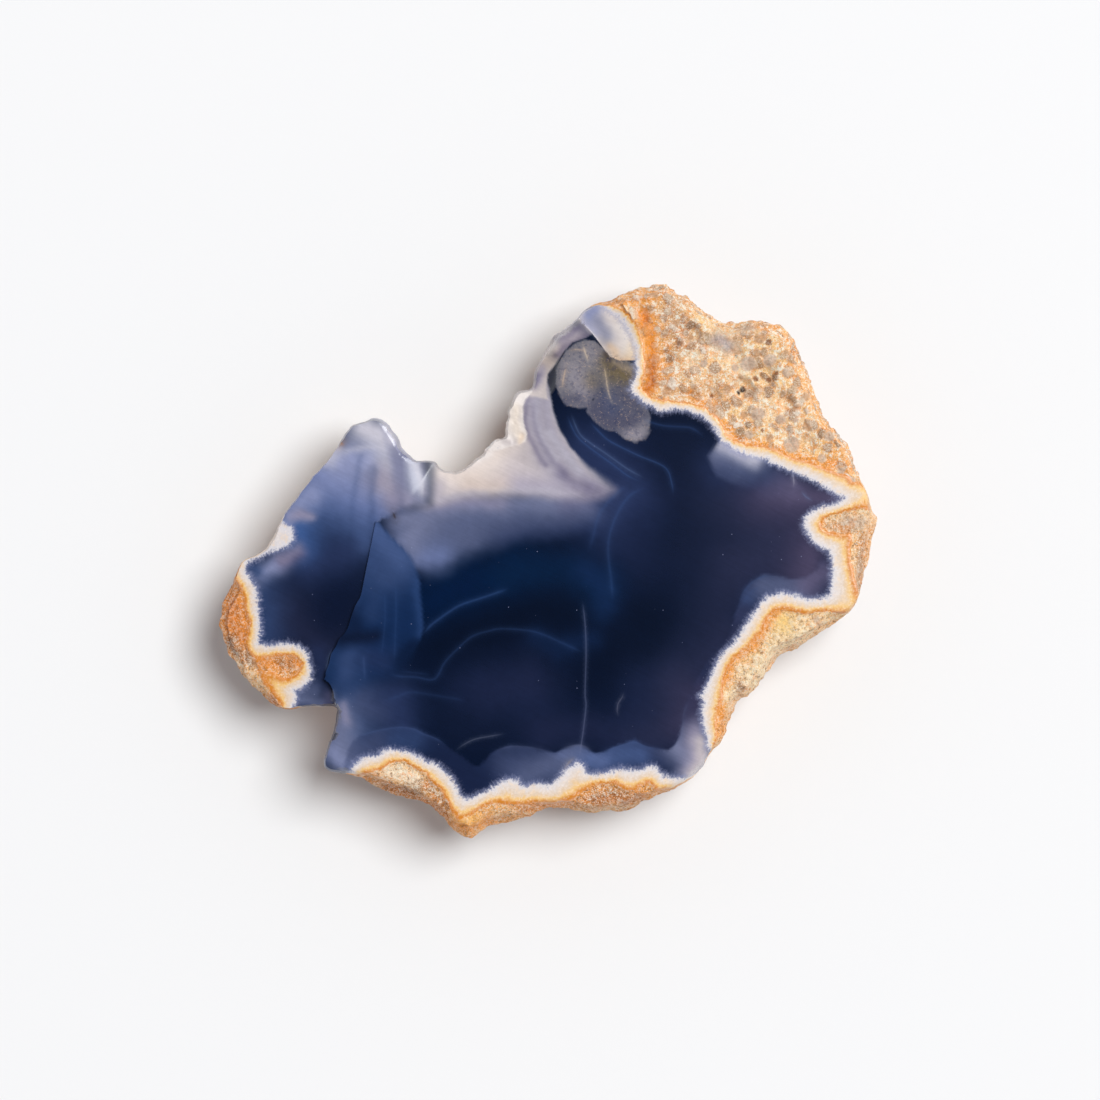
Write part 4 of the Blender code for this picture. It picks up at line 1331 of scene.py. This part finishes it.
def buildStone():
    form = stoneForm
    base = baseOutline()
    topX, topY = wallLoop(base, 1.0)[:2]
    lowX, lowY = wallLoop(base, 0.0)[:2]
    upX, upY, upFaces, upRim = makeSheet(form["fineSpacing"], topX, topY, needsFineMesh, crispLines())
    print("stone: upper side has", len(upX), "places")
    downX, downY, downFaces, downRim = makeSheet(form["bellySpacing"], lowX, lowY, None, [])
    print("stone: belly has", len(downX), "places")

    upZ, host, rock, grainUp, toneUp = shapeUpperSide(base, upX, upY, upRim)
    downZ = shapeBelly(base, downX, downY, downRim)
    wallX, wallY, wallZ, level, wallGrain, wallTone = shapeWall(base, upZ[upRim], downZ[downRim])
    upSpots = np.column_stack([upX, upY, upZ])
    wallSpots = np.column_stack([wallX, wallY, wallZ])
    downSpots = np.column_stack([downX, downY, downZ])
    spots = np.vstack([upSpots, wallSpots, downSpots])
    upper, belly = len(upX), len(downX)
    lower = upper + len(wallX)
    rings = np.vstack([upRim, np.arange(upper, lower).reshape(-1, len(upRim)), lower + downRim])
    faces = np.vstack([upFaces, wallFaces(rings), lower + downFaces[:, ::-1]])

    px, py = onPicture(upX, upY)
    mossUp = np.zeros(upper)
    for area in mossLobes:
        mossUp = np.maximum(mossUp, smoothStep(insideDistance(px, py, area), -2.0, 3.0))
    colourUp = paintBlue(px, py)
    rockColourUp, plainUp = paintRock(px, py)
    print("stone: markings are laid on the upper side")

    blueUp = depthIn(upX, upY, blueArea) / mm
    runUp = borderRun(upX, upY, places(blueArea)) / mm
    rockUp = rock / mm
    fall = (downTheWall(upZ[upRim]) - wallZ) / mm
    blueWall, rockWall = wallBorders(wallSpots, level, fall, blueUp[upRim], rockUp[upRim])
    colourWall, rockColourWall, plainWall = paintWall(wallSpots, fall, colourUp[upRim])
    wallPolish = np.full(len(level), form["wallPolish"])
    rockColourDown = paletteColour("tan") * (1.0 + 0.25 * grain(downSpots, 7.0 * mm, 43)[:, None])
    hostDown = depthIn(downX, downY, rockAreas[0])
    grainDown, toneDown = grainsAt(downSpots, hostDown > 0)
    attributes = {
        "borderRun": np.concatenate([runUp, downTheWall(runUp[upRim]), np.zeros(belly)]),
        "grainEdge": np.concatenate([grainUp, wallGrain, grainDown]) / mm,
        "grainTone": np.concatenate([toneUp, wallTone, toneDown]),
        "hostShare": np.concatenate([host, downTheWall(host[upRim]), smoothStep(hostDown, -2 * mm, mm)]),
        "blueEdge": np.concatenate([blueUp, blueWall, np.full(belly, -6.0)]),
        "rockEdge": np.concatenate([rockUp, rockWall, np.full(belly, 4.0)]),
        "polish": np.concatenate([polishOf(px, py), wallPolish, np.zeros(belly)]),
    }
    ground = np.vstack([colourUp, colourWall, np.tile(paletteColour("navy"), (belly, 1))])
    moss = np.concatenate([mossUp, np.zeros(len(spots) - upper)])
    rockTint = np.vstack([rockColourUp, rockColourWall, rockColourDown])
    plain = np.concatenate([plainUp, plainWall, np.zeros(belly)])
    colours = {"ground": (ground, studio["lit"], moss), "rockTint": (rockTint, form["rockLit"], plain)}

    mesh = makeMesh("blue_agate_stone", spots, faces, attributes, colours)
    stone = bpy.data.objects.new("blue_agate_stone", mesh)
    bpy.context.scene.collection.objects.link(stone)
    low, high = spots.min(axis=0), spots.max(axis=0)
    shift = [(cadBox[0][axis] + cadBox[1][axis] - low[axis] - high[axis]) / 2 for axis in (0, 1)]
    stone.location = (*shift, 0.0)
    print("stone:", len(mesh.polygons), "faces, moved by", [round(v / mm, 3) for v in stone.location], "mm")
    return stone


stoneMaterial = bpy.data.materials.new("blue_chalcedony_and_host_rock")
stoneMaterial.use_nodes = True
stoneTree = stoneMaterial.node_tree


def fill(socket, value):
    if isinstance(value, bpy.types.NodeSocket):
        stoneTree.links.new(value, socket)
    elif socket.type == "RGBA":
        socket.default_value = (*value, 1.0)
    else:
        socket.default_value = value


def addNode(kind, inputs=None, **settings):
    node = stoneTree.nodes.new(kind)
    for name, value in settings.items():
        setattr(node, name, value)
    for name, value in (inputs or {}).items():
        fill(node.inputs[name], value)
    return node


def attributeOf(name, output="Fac"):
    return addNode("ShaderNodeAttribute", attribute_name=name).outputs[output]


def calculate(operation, first, second=0.0, third=0.0):
    return addNode("ShaderNodeMath", {0: first, 1: second, 2: third}, operation=operation).outputs[0]


def added(first, second):
    return calculate("ADD", first, second)


def product(first, second):
    return calculate("MULTIPLY", first, second)


def scaled(value, gain, base):
    return calculate("MULTIPLY_ADD", value, gain, base)


def mixed(share, first, second, blend="MIX"):
    inputs = {"Factor": share, 6: first, 7: second}
    return addNode("ShaderNodeMix", inputs, data_type="RGBA", blend_type=blend).outputs[2]


def tinted(share, colour, name, lit=studio["lit"]):
    return mixed(share, colour, paint(palette[name], lit))


# A colour made darker and lighter by a value.
def shaded(colour, value, gain, base):
    shade = scaled(value, gain, base)
    grey = addNode("ShaderNodeCombineColor", {0: shade, 1: shade, 2: shade}).outputs[0]
    return mixed(1.0, colour, grey, "MULTIPLY")


def stepBetween(value, low, high):
    inputs = {"Value": value, "From Min": low, "From Max": high}
    return addNode("ShaderNodeMapRange", inputs, interpolation_type="SMOOTHSTEP").outputs["Result"]


def rampOf(value, stops):
    node = addNode("ShaderNodeValToRGB", {"Fac": value})
    setStops(node.color_ramp, [(position, paint(palette[name])) for position, name in stops])
    return node.outputs["Color"]


def noiseOf(where, scale, detail=3.0, roughness=0.6):
    inputs = {"Vector": where, "Scale": scale, "Detail": detail, "Roughness": roughness}
    return addNode("ShaderNodeTexNoise", inputs).outputs["Fac"]


# The stone's finish: painted blue, a jagged white and orange rim, and grainy host rock.
def setFinish():
    look = stoneForm
    shader = stoneTree.nodes["Principled BSDF"]
    where = addNode("ShaderNodeTexCoord").outputs["Object"]
    spot = addNode("ShaderNodeVectorMath", {0: where, "Scale": 1.0 / mm}, operation="SCALE").outputs[0]
    blueEdge, rockEdge, hostShare = [attributeOf(name) for name in ("blueEdge", "rockEdge", "hostShare")]
    moss = attributeOf("ground", "Alpha")
    grainy = calculate("SUBTRACT", 1.0, attributeOf("rockTint", "Alpha"))
    crumbs = noiseOf(spot, 3.2, 4.0, 0.75)
    flecks = noiseOf(spot, 1.7, 5.0, 0.75)
    clouds = noiseOf(spot, 0.8, 5.0, 0.7)
    salt = noiseOf(spot, 5.5, 3.0, 0.7)

    alongBorder, acrossBorder = look["spineCloseness"]
    inputs = {0: product(attributeOf("borderRun"), alongBorder), 1: product(blueEdge, acrossBorder)}
    across = addNode("ShaderNodeCombineXYZ", inputs).outputs[0]
    spines = scaled(noiseOf(across, 1.0), look["spineLength"], -0.5 * look["spineLength"])
    jag = scaled(noiseOf(spot, 1.3, 5.0, 0.75), 1.2, -0.6)
    blueJag = added(added(blueEdge, jag), added(scaled(crumbs, 1.5, -0.75), spines))
    blueMask = stepBetween(blueJag, -0.26, 0.28)
    rockJag = added(rockEdge, scaled(noiseOf(spot, 1.1), 1.2, -0.6))
    rockMask = stepBetween(rockJag, -0.10, 0.16)
    outOfBlue = calculate("MAXIMUM", product(blueJag, -1.0), 0.0)
    beforeRock = calculate("MAXIMUM", product(rockJag, -1.0), 0.0)
    share = calculate("DIVIDE", outOfBlue, added(added(outOfBlue, beforeRock), 0.02))
    rim = rampOf(share, look["rimColours"])
    rim = tinted(product(stepBetween(crumbs, 0.45, 0.75), 0.5), rim, "chalk")
    rim = tinted(product(stepBetween(clouds, 0.52, 0.66), 0.30), rim, "straw")
    rim = shaded(rim, crumbs, 0.40, 0.76)

    def onRock(mask, strength, colour, name):
        return tinted(product(product(mask, grainy), strength), colour, name, look["rockLit"])

    # Host rock: a pale matrix with orange stain and quartz grains in it; the noises that raise its bumps
    # also paint it lighter on them and darker in its crevices, painted shade over dark grit.
    # painted shade: lighter where the crumbs raise the bump, darker where they lower it
    rock = shaded(attributeOf("rockTint", "Color"), crumbs, 1.3, 0.33)
    rock = onRock(stepBetween(clouds, 0.50, 0.62), look["stainShare"], rock, "amber")
    paleShare = scaled(hostShare, look["paleShare"] - look["rindPale"], look["rindPale"])
    rock = onRock(stepBetween(flecks, 0.50, 0.59), paleShare, rock, "flour")
    grainGap = added(attributeOf("grainEdge"), scaled(crumbs, 0.7, -0.35))
    grainColour = shaded(rampOf(attributeOf("grainTone"), look["grainColours"]), flecks, 0.8, 0.66)
    grainMask = product(product(stepBetween(grainGap, -0.02, 0.10), grainy), look["grainShare"])
    rock = mixed(grainMask, rock, grainColour)
    rock = onRock(stepBetween(calculate("ABSOLUTE", grainGap), 0.14, 0.03), 0.40, rock, "rust")
    # dark grit in the hollows with painted shade: low flecks also lower the bump there
    sunken = added(flecks, scaled(hostShare, look["rindShade"], -look["rindShade"]))
    rock = onRock(stepBetween(sunken, 0.40, 0.31), look["creviceGritAndShade"], rock, "umber")
    rock = onRock(stepBetween(salt, 0.54, 0.61), 0.70, rock, "flour")
    rock = onRock(stepBetween(salt, 0.42, 0.35), 0.55, rock, "umber")

    # The blue: faint clouds, a painted sheen along polishing streaks, mossy specks, dust, and a glow beside
    # the rim.
    turn, stretch = look["polishSheen"]
    inputs = {"Vector": spot, "Rotation": (0.0, 0.0, turn), "Scale": stretch}
    along = addNode("ShaderNodeMapping", inputs, vector_type="TEXTURE").outputs[0]
    blue = shaded(attributeOf("ground", "Color"), clouds, 0.30, 0.85)
    # painted sheen: lighter and darker bands along the polishing streaks
    blue = shaded(blue, noiseOf(along, 1.0), 0.24, 0.88)
    blue = tinted(product(product(moss, stepBetween(flecks, 0.52, 0.36)), 0.40), blue, "cobalt")
    blue = tinted(product(product(moss, stepBetween(crumbs, 0.56, 0.68)), 0.45), blue, "dove")
    dust = addNode("ShaderNodeTexVoronoi", {"Vector": spot, "Scale": 0.75}).outputs
    dustTone = addNode("ShaderNodeSeparateColor", {0: dust["Color"]}).outputs[0]
    dustMask = product(stepBetween(dust["Distance"], 0.07, 0.03), stepBetween(dustTone, 0.55, 0.9))
    blue = tinted(product(dustMask, 0.6), blue, "iris")
    flour = product(stepBetween(crumbs, 0.56, 0.66), stepBetween(blueJag, 1.5, 0.1))
    glow = product(stepBetween(blueJag, 0.9, 0.0), look["rimGlow"])
    blue = tinted(scaled(flour, 0.4, glow), blue, "iris")
    fill(shader.inputs["Base Color"], mixed(blueMask, mixed(rockMask, rim, rock), blue))

    dull = scaled(attributeOf("polish"), -0.30, 0.42)
    coarse = scaled(rockMask, 0.40, 0.32)
    inputs = {"Factor": calculate("SUBTRACT", 1.0, blueMask), 2: dull, 3: coarse}
    fill(shader.inputs["Roughness"], addNode("ShaderNodeMix", inputs, data_type="FLOAT").outputs[0])
    relief = product(calculate("SUBTRACT", added(flecks, crumbs), 1.0), rockMask)
    bump = addNode("ShaderNodeBump", {"Height": relief, "Distance": look["bumpDepth"], "Strength": 1.0})
    fill(shader.inputs["Normal"], bump.outputs["Normal"])


stone = buildStone()
setFinish()
stone.data.materials.append(stoneMaterial)
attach(stone, "root")
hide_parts("blue_agate")
print("stone: finished")
